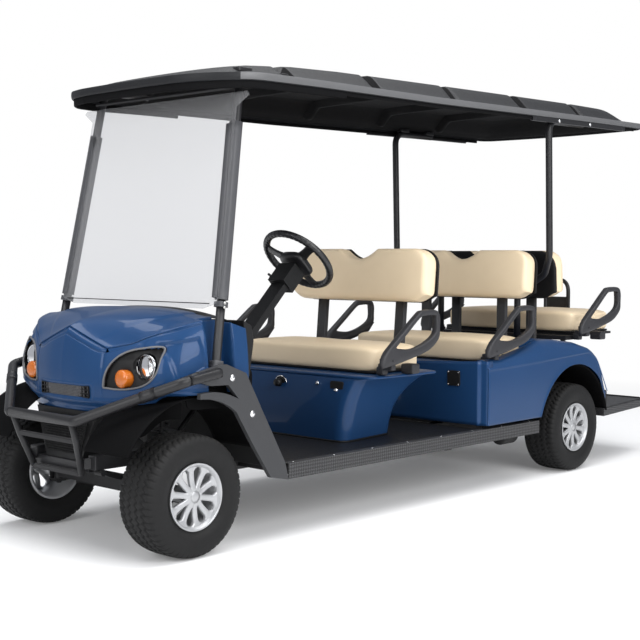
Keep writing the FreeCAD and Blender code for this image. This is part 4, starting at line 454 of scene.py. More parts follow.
# Seats
def pad(name, low, high, node, body, plan=0.16, rise=0.3):
    """A crowned cushion with a sewn groove down its middle and piping round its top edge."""
    low, high = np.array(low, float), np.array(high, float)
    spots, quads = cushion_form(low, high, plan, rise, (180, 52))
    middle, half = (low + high) / 2, (high - low) / 2
    x, y = (spots[:, 0] - middle[0]) / half[0], (spots[:, 1] - middle[1]) / half[1]
    top = ease(spots[:, 2], middle[2], high[2])
    crown = 0.012 * (1 - x ** 2) * (1 - y ** 4)
    sag = sum(0.012 * np.exp(-((y - seat) / 0.32) ** 2 - (x / 0.7) ** 2) for seat in (-0.5, 0.5))
    sew = 0.006 * np.exp(-(y * half[1] / 0.006) ** 2)
    spots[:, 2] += top * (crown - sag * 0.6 - sew - 0.004)
    made = piece(name, [(spots, quads)], VINYL, body, (node,))
    rim_angle = np.linspace(0, 2 * math.pi, 240, endpoint=False)
    reach = half - (0.006, 0.006, 0)
    path = middle + np.stack([power(np.cos(rim_angle), plan) * reach[0] * 0.985,
                              power(np.sin(rim_angle), plan) * reach[1] * 0.99,
                              np.full(240, half[2] * 0.66)], -1)
    cord = sweep(path, ring_section(0.0035, 8), (0, 0, 1), True)
    board = cushion_form(low - (0.002, -0.004, 0), (high[0] - 0.003, high[1] - 0.004, low[2] + 0.014),
                         0.1, 0.2, (80, 16))
    piece(f"{name}_piping", [cord], VINYL, body)
    piece(f"{name}_board", [board], TEXTURED, body)


def back_height(across, margin):
    """The top edge of a seat back over its own lower edge: two humps, round ends and a middle dip."""
    half, high, corner = BACK_HALF + margin, BACK_RISE + margin, 0.100
    edge = np.abs(across)
    round_end = corner - np.sqrt(np.clip(corner ** 2 - (edge - half + corner) ** 2, 0, None))
    ends = np.where(edge > half - corner, round_end, 0)
    dip = 0.053 * np.clip(1 - (edge / 0.132) ** 2, 0, 1)
    return high - ends - dip


def back_form(margin, near, far, crown, soft):
    """A seat back upright about its front lower edge: a loop of constant depth that rounds over its edges."""
    across = np.sin(np.linspace(-math.pi / 2, math.pi / 2, 116)) * (BACK_HALF + margin) * 0.9999
    top = back_height(across, margin)
    base = -margin + 0.034 * ease(np.abs(across), 0.36, 0.47) ** 2
    loop = np.linspace(0, 2 * math.pi, 52, endpoint=False)
    depth = power(np.cos(loop), soft)
    height = power(np.sin(loop), soft * 0.8)
    middle, half = (top + base)[:, None] / 2, (top - base)[:, None] / 2
    near_end = np.clip((np.abs(across) - 0.435 - margin) / 0.035, 0, 1)
    pinch = np.sqrt(1 - near_end ** 2.5)[:, None]
    pinch[[0, -1]] = 0
    swell = crown * np.clip(depth, 0, 1)[None, :] * (1 - (across / BACK_HALF) ** 6)[:, None]
    x = (near + far) / 2 + (near - far) / 2 * depth[None, :] * pinch + swell
    z = middle + half * height[None, :]
    y = across[:, None] * np.ones_like(z)
    return np.stack([x, y, z], -1)


def seat_back(name, x, facing, node):
    """A padded back with stitched lines, its moulded shell and the piping between them, tilted 5 degrees."""
    tilt = -facing * math.radians(5)

    def put(points):
        """Points of an upright back, turned to its side, tilted and set in place."""
        spot = points * (facing, 1, 1)
        turned = np.stack([spot[..., 0] * math.cos(tilt) + spot[..., 2] * math.sin(tilt), spot[..., 1],
                           -spot[..., 0] * math.sin(tilt) + spot[..., 2] * math.cos(tilt)], -1)
        return turned + (x, 0, BACK_LOW)
    front = back_form(0.004, 0, -0.105, 0.010, 0.42)
    seam = np.abs(front[..., 0] + 0.030)
    front[..., 1] *= 1 - 0.004 * np.exp(-(seam / 0.004) ** 2)
    made = piece(f"{name}_padded", [grid(put(front), False, True)], VINYL, "chassis", (node,))
    shell = grid(put(back_form(0.005, -0.098, -0.1155, 0, 0.3)), False, True)
    across = np.linspace(-0.474, 0.474, 160)
    upper = np.stack([np.full(160, -0.100), across, back_height(across, 0.003) + 0.001], -1)
    under = np.linspace(0.472, -0.472, 80)
    lower = np.stack([np.full(80, -0.100), under, 0.034 * ease(np.abs(under), 0.36, 0.47) ** 2 - 0.001], -1)
    rim = sweep(put(np.vstack([upper, lower])), ring_section(0.0045, 8), (1, 0, 0), True)
    return [shell], [rim]


def seats():
    """Cushions, backs, shells and the slotted bars that carry the backs."""
    for row, rear, front, low, body in (("front", XF - 1.605, XF - 1.235, SEAT_LOW, "front_seat_lid"),
                                        ("middle", XR + 0.380, XR + 0.750, SEAT_LOW, "middle_seat_lid"),
                                        ("rear", XR - 0.590, XR - 0.150, BENCH_LOW, "chassis")):
        pad(f"{row}_cushion_padded", (rear, -0.465, low), (front, 0.465, low + CUSHION_HEIGHT),
            f"{row}_seat_cushion", body)
    shells, rims = [], []
    for name, x, facing, node in (("front_back", XF - 1.620, 1, "front_seatback"),
                                  ("middle_back", XR + 0.365, 1, "middle_seatback"),
                                  ("rear_back", XR - 0.062, -1, "rear_seatback")):
        shell, rim = seat_back(name, x, facing, node)
        shells += shell
        rims += rim
    piece("back_shells_moulded", shells, TEXTURED, "chassis", ("seatback_shells",))
    piece("back_piping", rims, TEXTURED)


# Tubes: struts, guard and hoop
def tubes():
    """The round tubes of the struts, the brush guard and the grab hoop."""
    rise = math.tan(math.radians(1))
    end = (STRUT_TOP[0] - 0.26, STRUT_TOP[1], STRUT_TOP[2] + 0.26 * rise)
    parts = [tube([STRUT_FOOT, STRUT_TOP, end], 0.019, 0.07)]
    rear_x, leg_x = XR + 0.250, XR + 0.155
    rail = 1.9567 + (XF - 0.120 - rear_x) * rise
    parts.append(tube([(rear_x - 0.33, 0.556, rail + 0.33 * rise), (rear_x + 0.025, 0.556, rail - 0.025 * rise),
                       (rear_x, 0.556, 1.25), (leg_x, 0.465, 1.14), (leg_x, 0.28, 1.025), (leg_x, 0.28, 0.766)],
                      0.019, 0.07))
    piece("struts_round", both(parts), STEEL, "chassis", ("canopy_struts",))
    parts = [tube([(XF + 0.0043, 0.602, 0.745), (XF + 0.085, 0.605, 0.727), (XF + 0.3432, 0.236, 0.563),
                   (XF + 0.3432, -0.236, 0.563), (XF + 0.085, -0.605, 0.727), (XF + 0.0043, -0.602, 0.745)],
                  0.022, 0.05, 24)]
    leg = [(XF + 0.3432, 0.211, 0.563), (XF + 0.313, 0.204, 0.474), (XF + 0.262, 0.171, 0.330)]
    parts += both([tube(leg, 0.0145, 0.06)])
    for x, y, z in leg[1:]:
        parts.append(sweep(np.array([(x, -y, z), (x, y, z)]), ring_section(0.012), (0, 0, 1)))
    arm = np.array([(XF + 0.2405, 0.195, 0.377), (XF + 0.27, 0.195, 0.377)])
    parts += both([sweep(arm, block_section(0.02, 0.045))])
    piece("guard_round", parts, STEEL, "chassis", ("brush_guard",))
    x = XR - 0.720
    hoop = tube([(x, -0.085, 0.7807), (x, -0.085, 1.097), (x, 0.085, 1.097), (x, 0.085, 0.7807)], 0.013, 0.08)
    through = np.array([(x - 0.002, 0, 0.945), (x + 0.002, 0, 0.945)])
    plate = sweep(through, block_section(0.170, 0.080, 0.16), (0, 1, 0))
    piece("hoop_round", [hoop], STEEL, "chassis", ("grab_hoop",))
    piece("hoop_plate_blank", [plate], PLATE, "chassis", smooth=False)
    parts = []
    for y in (-0.085, 0.085):
        for z in (0.917, 0.973):
            parts += bolt((x - 0.002, y * 0.82, z), (-1, 0, 0), 0.005, 0.004)
    piece("hoop_plate_bolts", parts, ZINC)


# Armrests
def armrest_form(front_x, low):
    """A loop of superellipse section between an outer and an inner outline, both round about one point.

    The outlines are in millimetres behind the front end and above the foot."""
    outside = [(0, 38), (0, 72), (32, 118), (150, 206), (268, 292), (306, 308), (408, 308), (440, 276), (440, 220),
               (440, 178), (414, 146), (350, 108), (240, 80), (110, 54)]
    within = [(96, 132), (187, 200), (278, 268), (322, 280), (398, 280), (408, 262), (404, 196), (330, 152),
              (220, 124)]
    hub = np.array((300.0, 190.0))
    angle = np.linspace(-math.pi, math.pi, 121)[:-1]

    def reach(outline, count):
        """Distance from the hub to an outline at each bearing."""
        loop = curve(outline + outline[:1], count)
        away = loop - hub
        bearing = np.arctan2(away[:, 1], away[:, 0])
        order = np.argsort(bearing)
        return np.interp(angle, bearing[order], np.hypot(*away.T)[order], period=2 * math.pi)
    far, near = reach(outside, 500), reach(within, 500)
    loop = np.linspace(0, 2 * math.pi, 20, endpoint=False)
    radius = (far + near)[:, None] / 2 + (far - near)[:, None] / 2 * power(np.cos(loop), 0.6)
    across = power(np.sin(loop), 0.6) * 0.019 + 0.585
    points = np.stack([front_x - (hub[0] + radius * np.cos(angle)[:, None]) / 1000,
                       np.ones_like(radius) * across, low + (hub[1] + radius * np.sin(angle)[:, None]) / 1000], -1)
    foot = cushion_form((front_x - 0.125, 0.482, low), (front_x - 0.085, 0.528, low + 0.040), 0.3, 0.3, (40, 20))
    bridge = cushion_form((front_x - 0.124, 0.490, low + 0.022), (front_x - 0.086, 0.580, low + 0.056),
                          0.3, 0.3, (40, 20))
    return [grid(points, True, True), foot, bridge]


def armrests():
    """The six hip restraints with a bolt at each foot."""
    parts, bolts = [], []
    for front_x, low in ARMRESTS:
        parts += armrest_form(front_x, low)
        bolts += bolt((front_x - 0.070, 0.604, low + 0.075), (0, 1, 0), 0.004, 0.003)
        bolts += bolt((front_x - 0.105, 0.505, low + 0.039), (0, 0, 1), 0.006, 0.004)
    piece("armrests_rounded", both(parts), ARM, "chassis", ("armrests",))
    piece("armrest_bolts", both(bolts), STEEL)


def soften():
    """A small bevel and even shading on the CAD pieces that stay."""
    for name, width in (("side_braces", 0.003), ("floor", 0.003), ("headlamp_pockets", 0.001),
                        ("rocker_panels", 0.003), ("rear_step", 0.006), ("dashboard", 0.008), ("lower_fascia", 0.003),
                        ("frame_rails", 0.003), ("steering_column", 0.010), ("powertrain", 0.01),
                        ("rear_seat_frame", 0.003), ("pedals", 0.002)):
        node = CAD[name]
        weld = node.modifiers.new("weld", "WELD")
        weld.merge_threshold = 0.0001
        bevel = node.modifiers.new("edges", "BEVEL")
        bevel.width = width
        bevel.segments = 3
        bevel.limit_method = "ANGLE"
        bevel.angle_limit = math.radians(28)
        bevel.harden_normals = True
        bevel.use_clamp_overlap = True


# Front body: half outlines seen from above at five heights, forward of the axle and across
PLAN_HEIGHTS = np.array((0.585, 0.690, 0.800, 0.920, 1.030))
PLAN = np.array((
    ((0.230, 0), (0.224, 0.100), (0.204, 0.200), (0.178, 0.280), (0.148, 0.355), (0.120, 0.415), (0.084, 0.470),
     (0.024, 0.530), (-0.090, 0.568), (-0.300, 0.572)),
    ((0.238, 0), (0.232, 0.100), (0.211, 0.200), (0.185, 0.285), (0.158, 0.360), (0.134, 0.425), (0.098, 0.480),
     (0.030, 0.542), (-0.090, 0.575), (-0.300, 0.575)),
    ((0.236, 0), (0.230, 0.100), (0.206, 0.200), (0.176, 0.290), (0.146, 0.380), (0.122, 0.460), (0.082, 0.528),
     (0.005, 0.564), (-0.100, 0.573), (-0.300, 0.573)),
    ((0.212, 0), (0.200, 0.100), (0.172, 0.200), (0.132, 0.290), (0.088, 0.380), (0.048, 0.450), (0.000, 0.508),
     (-0.065, 0.545), (-0.140, 0.557), (-0.300, 0.557)),
    ((0.165, 0), (0.150, 0.100), (0.110, 0.200), (0.060, 0.290), (0.010, 0.380), (-0.040, 0.440), (-0.090, 0.490),
     (-0.150, 0.520), (-0.200, 0.530), (-0.300, 0.530))))
# The edge between the hood and the sides: across, forward of the axle, height
EDGE = np.array(((0, 0.197, 0.905), (0.110, 0.195, 0.869), (0.221, 0.188, 0.833), (0.330, 0.126, 0.868),
                 (0.400, 0.086, 0.899), (0.500, 0.010, 0.936), (0.545, -0.085, 0.962), (0.550, -0.171, 0.972),
                 (0.550, -0.300, 0.972)))
# The lamp opening, across and up, the sunk panel of the flank, along and up, and the grille's slot
LEAF = ((0.236, 0.690), (0.240, 0.730), (0.254, 0.770), (0.280, 0.806), (0.318, 0.834), (0.372, 0.852),
        (0.474, 0.862), (0.480, 0.815), (0.476, 0.770), (0.460, 0.735), (0.427, 0.708), (0.378, 0.693),
        (0.310, 0.686))
RECESS = ((0.098, 0.880), (-0.050, 0.905), (-0.076, 0.770), (0.060, 0.702))
SLOT = ((-0.179, 0.634), (0.179, 0.634), (0.179, 0.701), (-0.179, 0.701))
# Each outline as 361 places, and a cubic in height through the five of each place
ALONG = 361
FINE_PLAN = np.stack([curve(outline, ALONG) for outline in PLAN])
PLAN_FIT = np.polynomial.polynomial.polyfit(PLAN_HEIGHTS, FINE_PLAN.reshape(len(PLAN), -1), 3)


def plan_at(height):
    """The outlines at an array of n heights, a cubic in height for each place along them: (n, ALONG, 2)."""
    return np.polynomial.polynomial.polyval(np.asarray(height, float), PLAN_FIT).T.reshape(-1, ALONG, 2)


def inside(loop, y, z):
    """Signed distance into a convex loop of (y, z), positive inside."""
    loop = np.array(loop)
    after = np.roll(loop, -1, 0)
    middle = loop.mean(0)
    normal = np.stack([after[:, 1] - loop[:, 1], loop[:, 0] - after[:, 0]], -1)
    normal /= np.linalg.norm(normal, axis=1)[:, None]
    normal *= np.sign(((middle - loop) * normal).sum(1))[:, None]
    away = (y[..., None] - loop[:, 0]) * normal[:, 0] + (z[..., None] - loop[:, 1]) * normal[:, 1]
    return away.min(-1)


def notch(x):
    """How far the flank is drawn in for the strut, along the cart."""
    return 0.066 * ease(x, -0.222, -0.205) * (1 - ease(x, -0.092, -0.075))


def wall_points(share, rows):
    """The side at shares of its outline (0 at the nose, 1 at the rear) and rows from its lip to the crease.

    The crease's height depends on where the outline stands at that height, so it is found in six steps."""
    index = share * (ALONG - 1)
    cell = np.clip(index.astype(int), 0, ALONG - 2)
    part = index - cell
    edge = curve(EDGE, 400)
    top = np.full(share.shape, 0.8)
    for _ in range(6):
        spot = column(top, cell, part)
        top = 0.5 * top + 0.5 * np.where(spot[:, 0] > -0.085, np.interp(spot[:, 1], edge[:, 0], edge[:, 2]),
                                         np.interp(-spot[:, 0], (0.085, 0.171, 0.300), (0.962, 0.972, 0.930)))
    start = column(np.full(share.shape, 0.6), cell, part)
    low = 0.582 + 0.082 * ease(start[:, 1], 0.37, 0.50)
    height = low[:, None] + (top - low)[:, None] * rows[None, :]
    flat = column(height.reshape(-1), np.repeat(cell, len(rows)), np.repeat(part, len(rows)))
    return flat.reshape(len(share), len(rows), 2), height


def column(height, cell, part):
    """Outline places at matching arrays of height and outline position."""
    fit = PLAN_FIT.reshape(-1, ALONG, 2)
    powers = np.stack([height ** k for k in range(len(fit))], 0)[..., None]
    near = (fit[:, cell] * powers).sum(0)
    far = (fit[:, cell + 1] * powers).sum(0)
    return near + (far - near) * part[:, None]


def shaped_wall(share, rows):
    """The side, moved along its normal: a lower lip, a seam, a sunk panel, a swell, and the strut's notch."""
    plan, height = wall_points(share, rows)
    x, y = plan[..., 0].copy(), plan[..., 1].copy()
    over = np.gradient(plan, axis=0)
    out = np.stack([over[..., 1], -over[..., 0]], -1)
    out /= np.linalg.norm(out, axis=-1)[..., None] + 1e-9
    out *= np.sign((out * plan).sum(-1, keepdims=True) + 1e-9)
    nose = 1 - ease(y, 0.20, 0.30)
    ledge = 0.632 + 0.045 * ease(y, 0.25, 0.50)
    offset = -0.016 * (1 - ease(height, ledge - 0.030, ledge))
    offset = offset + 0.002 * np.exp(-((height - ledge - 0.004) / 0.006) ** 2)
    seam = 0.004 * np.exp(-((y - 0.229) / 0.0035) ** 2)
    offset = offset - seam * ease(height, 0.62, 0.70) * (height < 0.84)
    deep = inside(RECESS, x, height) * (y > 0.40)
    offset = offset - 0.011 * ease(deep, 0.0, 0.014)
    swell = 0.0035 * np.exp(-((x - 0.112 + 0.12 * (0.86 - height)) / 0.020) ** 2) * (y > 0.40)
    swell = swell * ease(height, 0.67, 0.72)
    offset = offset + swell * (1 - nose)
    x, y = x + out[..., 0] * offset, y + out[..., 1] * offset
    y = np.where(plan[..., 0] < -0.05, y - notch(plan[..., 0]), y)
    return np.stack([x + XF, y, height], -1)


def cut_holes(part, holes):
    """Leaves out the faces ahead of the axle whose middle falls in a hole, a convex loop of (y, z)."""
    spots, quads = part
    middle = spots[quads].mean(1)
    ahead = middle[:, 0] > XF + 0.02
    hit = np.zeros(len(quads), bool)
    for hole in holes:
        hit |= (inside(hole, np.abs(middle[:, 1]), middle[:, 2]) > 0) & ahead
    return spots, quads[~hit]


def hood_points(count_a, count_b):
    """The hood: an arch from its crease to its middle line, a ridge at the front and round to the rear."""
    a = np.linspace(0, 1, count_a)[:, None]
    b = np.linspace(-1, 1, count_b)[None, :]
    middle = curve(((0.196, 0, 0.934), (0.120, 0, 0.962), (-0.003, 0, 0.988), (-0.110, 0, 0.999), (-0.207, 0, 1.004)),
                   count_a)
    side = curve(((0.180, 0.236, 0.850), (0.126, 0.330, 0.870), (0.086, 0.400, 0.901), (0.010, 0.500, 0.938),
                  (-0.085, 0.545, 0.964), (-0.171, 0.550, 0.974)), count_a)
    side[:, 1] -= notch(side[:, 0])
    ridge = 1 + ease(a, 0.02, 0.45) * 1.1
    arch = np.abs(b) ** ridge
    crown = 0.012 * np.sin(math.pi * np.clip(a, 0, 1)) * np.sin(math.pi * np.abs(b)) * ease(a, 0.05, 0.5)
    x = middle[:, :1] + (side[:, :1] - middle[:, :1]) * np.abs(b) ** 1.6
    y = side[:, 1:2] * b
    z = middle[:, 2:] + (side[:, 2:] - middle[:, 2:]) * arch + crown
    line = 0.62 + 0.12 * a
    z = z - 0.005 * ease(np.abs(b), line, line + 0.035) * (1 - ease(np.abs(b), 0.90, 1.0)) * ease(a, 0, 0.08)
    return np.stack([XF + x, y, z], -1)


def front_body():
    """The nose, sides and hood, the lamp and grille trims, and the black cover behind the hood."""
    share = np.concatenate([np.linspace(0, 0.60, 90)[:-1], np.linspace(0.60, 0.86, 46)[:-1],
                            np.linspace(0.86, 1.0, 60)])
    rows = np.concatenate([np.linspace(0, 0.3, 18)[:-1], np.linspace(0.3, 1, 30)])
    left = shaped_wall(share, rows)
    whole = np.concatenate([left[::-1] * (1, -1, 1), left[1:]])
    wall = cut_holes(grid(whole), (LEAF, SLOT))
    made = piece("cowl_sides", [wall], PAINT, "chassis", ("front_cowl",), turned=False)
    thicken(made, 0.004)
    hood = hood_points(100, 81)
    made = piece("cowl_hood", [grid(hood)], PAINT, turned=False)
    thicken(made, 0.004)
    top = whole[:, -1]
    front = top[np.abs(top[:, 1]) < 0.2362]
    edge = np.stack([np.interp(front[:, 1], hood[0, :, 1], hood[0, :, k]) for k in range(3)], -1)
    made = piece("hood_riser", [grid(np.stack([front, edge], 1))], PAINT, turned=False)
    thicken(made, 0.003)
    order = np.argsort(top[top[:, 1] > 0.2, 0])
    wall_edge = top[top[:, 1] > 0.2][order]
    side = hood[:, -1]
    low = np.stack([np.interp(side[:, 0], wall_edge[:, 0], wall_edge[:, k]) for k in range(3)], -1)
    strip = np.stack([side - (0, 0.010, -0.0006), side, low * 0.5 + side * 0.5 + (0, 0.001, 0),
                      low - (0, 0, 0.004)], 1)
    piece("hood_side_edges", both([grid(strip)]), PAINT)
    rear = hood[-1]
    back = rear.copy()
    back[:, 0] = XF - 0.300
    back[:, 2] = 1.002 - 0.072 * np.abs(rear[:, 1] / 0.55) ** 2.2
    t = np.linspace(0, 1, 12)[None, :, None]
    cover = rear[:, None] * (1 - t) + back[:, None] * t
    cover[..., 2] += 0.004 * np.sin(math.pi * t[..., 0]) + 0.0025
    lip = rear[:, None] + (0.004, 0, -0.004)
    made = piece("hood_rear_cover", [grid(np.concatenate([lip, cover], 1))], TEXTURED, turned=False)
    thicken(made, 0.004)

    def on_wall(y, z, lift=0.0):
        """Points of the outer surface at places across and up, before the outline turns back along the flank."""
        rings = plan_at(z)[:, :300]
        x = np.array([np.interp(spot, ring[:, 1], ring[:, 0]) for spot, ring in zip(y, rings)])
        return np.stack([XF + x + lift, y, z], -1)
    # A near-black sheet behind the lower lip stands for the shaded hollow under the nose: painted shade.
    low = whole[:, 0]
    low = low[low[:, 0] > XF + 0.03]
    curtain = np.stack([low * (1, 0.97, 1) + (-0.012, 0, 0.03), low * (1, 0.92, 1) + (-0.030, 0, -0.10)], 1)
    piece("cowl_curtain", [grid(curtain)], SHADED_LINER, turned=False)
    leaf_line = curve(LEAF + LEAF[:1], 200)
    rim = on_wall(leaf_line[:, 0], leaf_line[:, 1], 0.0005)[:-1]
    trims = [sweep(rim, block_section(0.008, 0.008, 0.6, 10), (0, 0, 1), True)]
    inner = on_wall(leaf_line[:, 0], leaf_line[:, 1])[:-1]
    centre = inner.mean(0)
    sleeve = np.stack([inner + (0.001, 0, 0), centre + (inner - centre) * 0.985 - (0.016, 0, 0)], 1)
    piece("lamp_trims", both(trims), GREY_TRIM)
    made = piece("lamp_sleeves", both([grid(sleeve, True)]), GLOSS_BLACK, turned=False)
    thicken(made, 0.001)

    def slot_loop(wide, low_z, high_z, bend, lift):
        """A rounded rectangle laid on the outer surface."""
        spots = route([(0, 0, low_z), (0, -wide, low_z), (0, -wide, high_z), (0, wide, high_z), (0, wide, low_z),
                       (0, 0.001, low_z)], bend, 9)
        run = np.concatenate([[0], np.cumsum(np.linalg.norm(np.diff(spots, axis=0), axis=1))])
        evenly = np.linspace(0, run[-1], 201)[:-1]
        spots = np.stack([np.interp(evenly, run, spots[:, k]) for k in range(3)], -1)
        loop = on_wall(np.abs(spots[:, 1]), spots[:, 2], lift)
        loop[:, 1] = spots[:, 1]
        return loop
    rings = [slot_loop(*ring) for ring in ((0.190, 0.626, 0.709, 0.014, -0.0005), (0.184, 0.631, 0.704, 0.012, 0.0014),
                                           (0.170, 0.642, 0.693, 0.008, 0.0014), (0.168, 0.644, 0.691, 0.008, -0.001),
                                           (0.167, 0.645, 0.690, 0.008, -0.014))]
    piece("grille_surround", [grid(np.stack(rings, 1), True)], PAINT, turned=False)
    y_line = np.linspace(-0.170, 0.170, 60)
    bars = []
    for height in np.linspace(0.646, 0.689, 8):
        line = on_wall(np.abs(y_line), np.full(60, height), -0.006)
        line[:, 1] = y_line
        bars.append(sweep(line, block_section(0.002, 0.004, 0.6, 6), (0, 0, 1)))
    for across in np.linspace(-0.168, 0.168, 44):
        line = on_wall(np.full(8, abs(across)), np.linspace(0.643, 0.693, 8), -0.006)
        line[:, 1] = across
        bars.append(sweep(line, block_section(0.002, 0.004, 0.6, 6), (0, 1, 0)))
    piece("grille_mesh", bars, GREY_TRIM)
    # A near-black sheet behind the grille bars stands for the shaded hollow behind them: painted shade.
    heights = np.linspace(0.638, 0.698, 6)
    rows = [on_wall(np.abs(y_line), np.full(60, height), -0.014) * (1, 0, 1) + y_line[:, None] * (0, 1, 0)
            for height in heights]
    piece("grille_backing", [grid(np.stack(rows, 1))], SHADED_LINER)


def thicken(made, depth):
    """Gives a skin its wall, inwards."""
    wall = made.modifiers.new("wall", "SOLIDIFY")
    wall.thickness = depth
    wall.offset = -1
    wall.use_quality_normals = True


def lamps_detailed():
    """Headlamps with a fluted reflector, ring, bulb and clear lens, and ribbed amber indicators."""
    shells, lenses, bulbs, ambers, bezels = [], [], [], [], []
    place = np.array((XF + 0.098, 0.398, 0.777))
    t = np.linspace(0, 1, 20)
    bowl = np.stack([0.050 * np.sqrt(t) + 1e-4, -0.030 + 0.038 * t], -1)
    spots, quads = lathe(bowl, (0, 0, 0), 60, (1, 0, 0), False)
    angle = np.arctan2(spots[:, 1], spots[:, 2])
    flute = 0.0016 * np.abs(np.sin(angle * 10)) * np.sin(np.hypot(spots[:, 1], spots[:, 2]) * 200)
    spots[:, 0] += flute
    shells.append((spots + place, quads))
    bezel = [(0.0495, 0.004), (0.0515, 0.012), (0.0555, 0.010), (0.0565, 0.0), (0.0560, -0.050),
             (0.0495, -0.050)]
    bezels.append(lathe(bezel, place, 96, (1, 0, 0), True))
    t = np.linspace(0, 1, 24)
    dome = np.stack([0.0505 * np.sin(t * math.pi / 2) + 1e-4, 0.008 + 0.014 * np.cos(t * math.pi / 2)], -1)
    lenses.append(lathe(dome, place, 72, (1, 0, 0), False))
    bulb = [(1e-4, 0.008), (0.009, 0.006), (0.011, 0.0), (0.011, -0.010), (0.008, -0.028)]
    bulbs.append(lathe(bulb, place, 32, (1, 0, 0), False))
    amber = np.array((XF + 0.164, 0.318, 0.729))
    t = np.linspace(0, 1, 18)
    quarter = t * math.pi / 2
    dome = np.stack([0.0375 * np.sin(quarter) ** 0.8 + 1e-4, 0.004 + 0.016 * np.cos(quarter) ** 0.7], -1)
    profile = np.vstack([dome, [(0.0375, -0.048)]])
    spots, quads = lathe(profile, (0, 0, 0), 60, (1, 0, 0), False)
    rib = 0.0005 * np.sin(spots[:, 1] * 2 * math.pi / 0.006)
    spots[:, 0] += rib * (spots[:, 0] > 0.003)
    ambers.append((spots + amber, quads))
    piece("headlamp_reflectors", both(shells), REFLECTOR, "chassis", ("headlamps",), turned=False)
    piece("headlamp_rings", both(bezels), REFLECTOR)
    piece("headlamp_bulbs", both(bulbs), LENS, turned=False)
    piece("headlamp_glasses", both(lenses), LENS, turned=False)
    piece("indicator_domes", both(ambers), AMBER, "chassis", ("indicators",), turned=False)


# Canopy: heights of its edge and of its crown along the cart from the front axle, and the cross grooves
BAND = ((-3.70, 2.062), (-3.00, 2.050), (-1.57, 2.018), (-0.70, 2.007), (-0.30, 1.998), (-0.12, 1.987))
CROWN = ((-3.70, 2.146), (-3.00, 2.139), (-2.20, 2.122), (-1.57, 2.107), (-1.00, 2.092), (-0.70, 2.078),
         (-0.42, 2.052), (-0.25, 2.026), (-0.12, 2.000))
GROOVES = (-0.60, -1.19, -1.80, -2.43, -3.02)


def table(pairs, x):
    """A listed value at places along the cart."""
    knots = np.array(pairs)
    return np.interp(x, knots[:, 0], knots[:, 1])


def roof_half(x):
    """Half the roof's width along the cart: quarter-round front corners and chamfered rear ones."""
    front = np.clip((x + 0.390) / 0.270, 0, 1)
    rear = np.clip((-3.580 - x) / 0.060, 0, 1)
    return ROOF_HALF - 0.290 * (1 - np.sqrt(1 - front ** 2 * 0.9999)) - 0.05 * rear ** 2


def roof_height(x, y, half):
    """Height above the ground: outer lip, gutter, side slope to the crown, and grooves across the top."""
    side, ahead, behind = np.maximum(half - np.abs(y), 0), np.maximum(-0.120 - x, 0), np.maximum(x + 3.64, 0)
    away = ((side + 1e-4) ** -4 + (ahead + 1e-4) ** -4 + (behind + 1e-4) ** -4) ** -0.25
    band, crown = table(BAND, x), table(CROWN, x)
    gutter = 0.011 * ease(away, 0.014, 0.022) * (1 - ease(away, 0.044, 0.058))
    slope = ease(away, 0.046, 0.175)
    groove = sum(1 - ease(np.abs(x - place - 0.030 * (0.5 - np.abs(y))), 0.020, 0.032) for place in GROOVES)
    groove = groove * 0.036 * ease(away, 0.064, 0.100)
    camber = 0.010 * (1 - (y / ROOF_HALF) ** 2) * slope
    return band - gutter + (crown - band) * slope - groove + camber


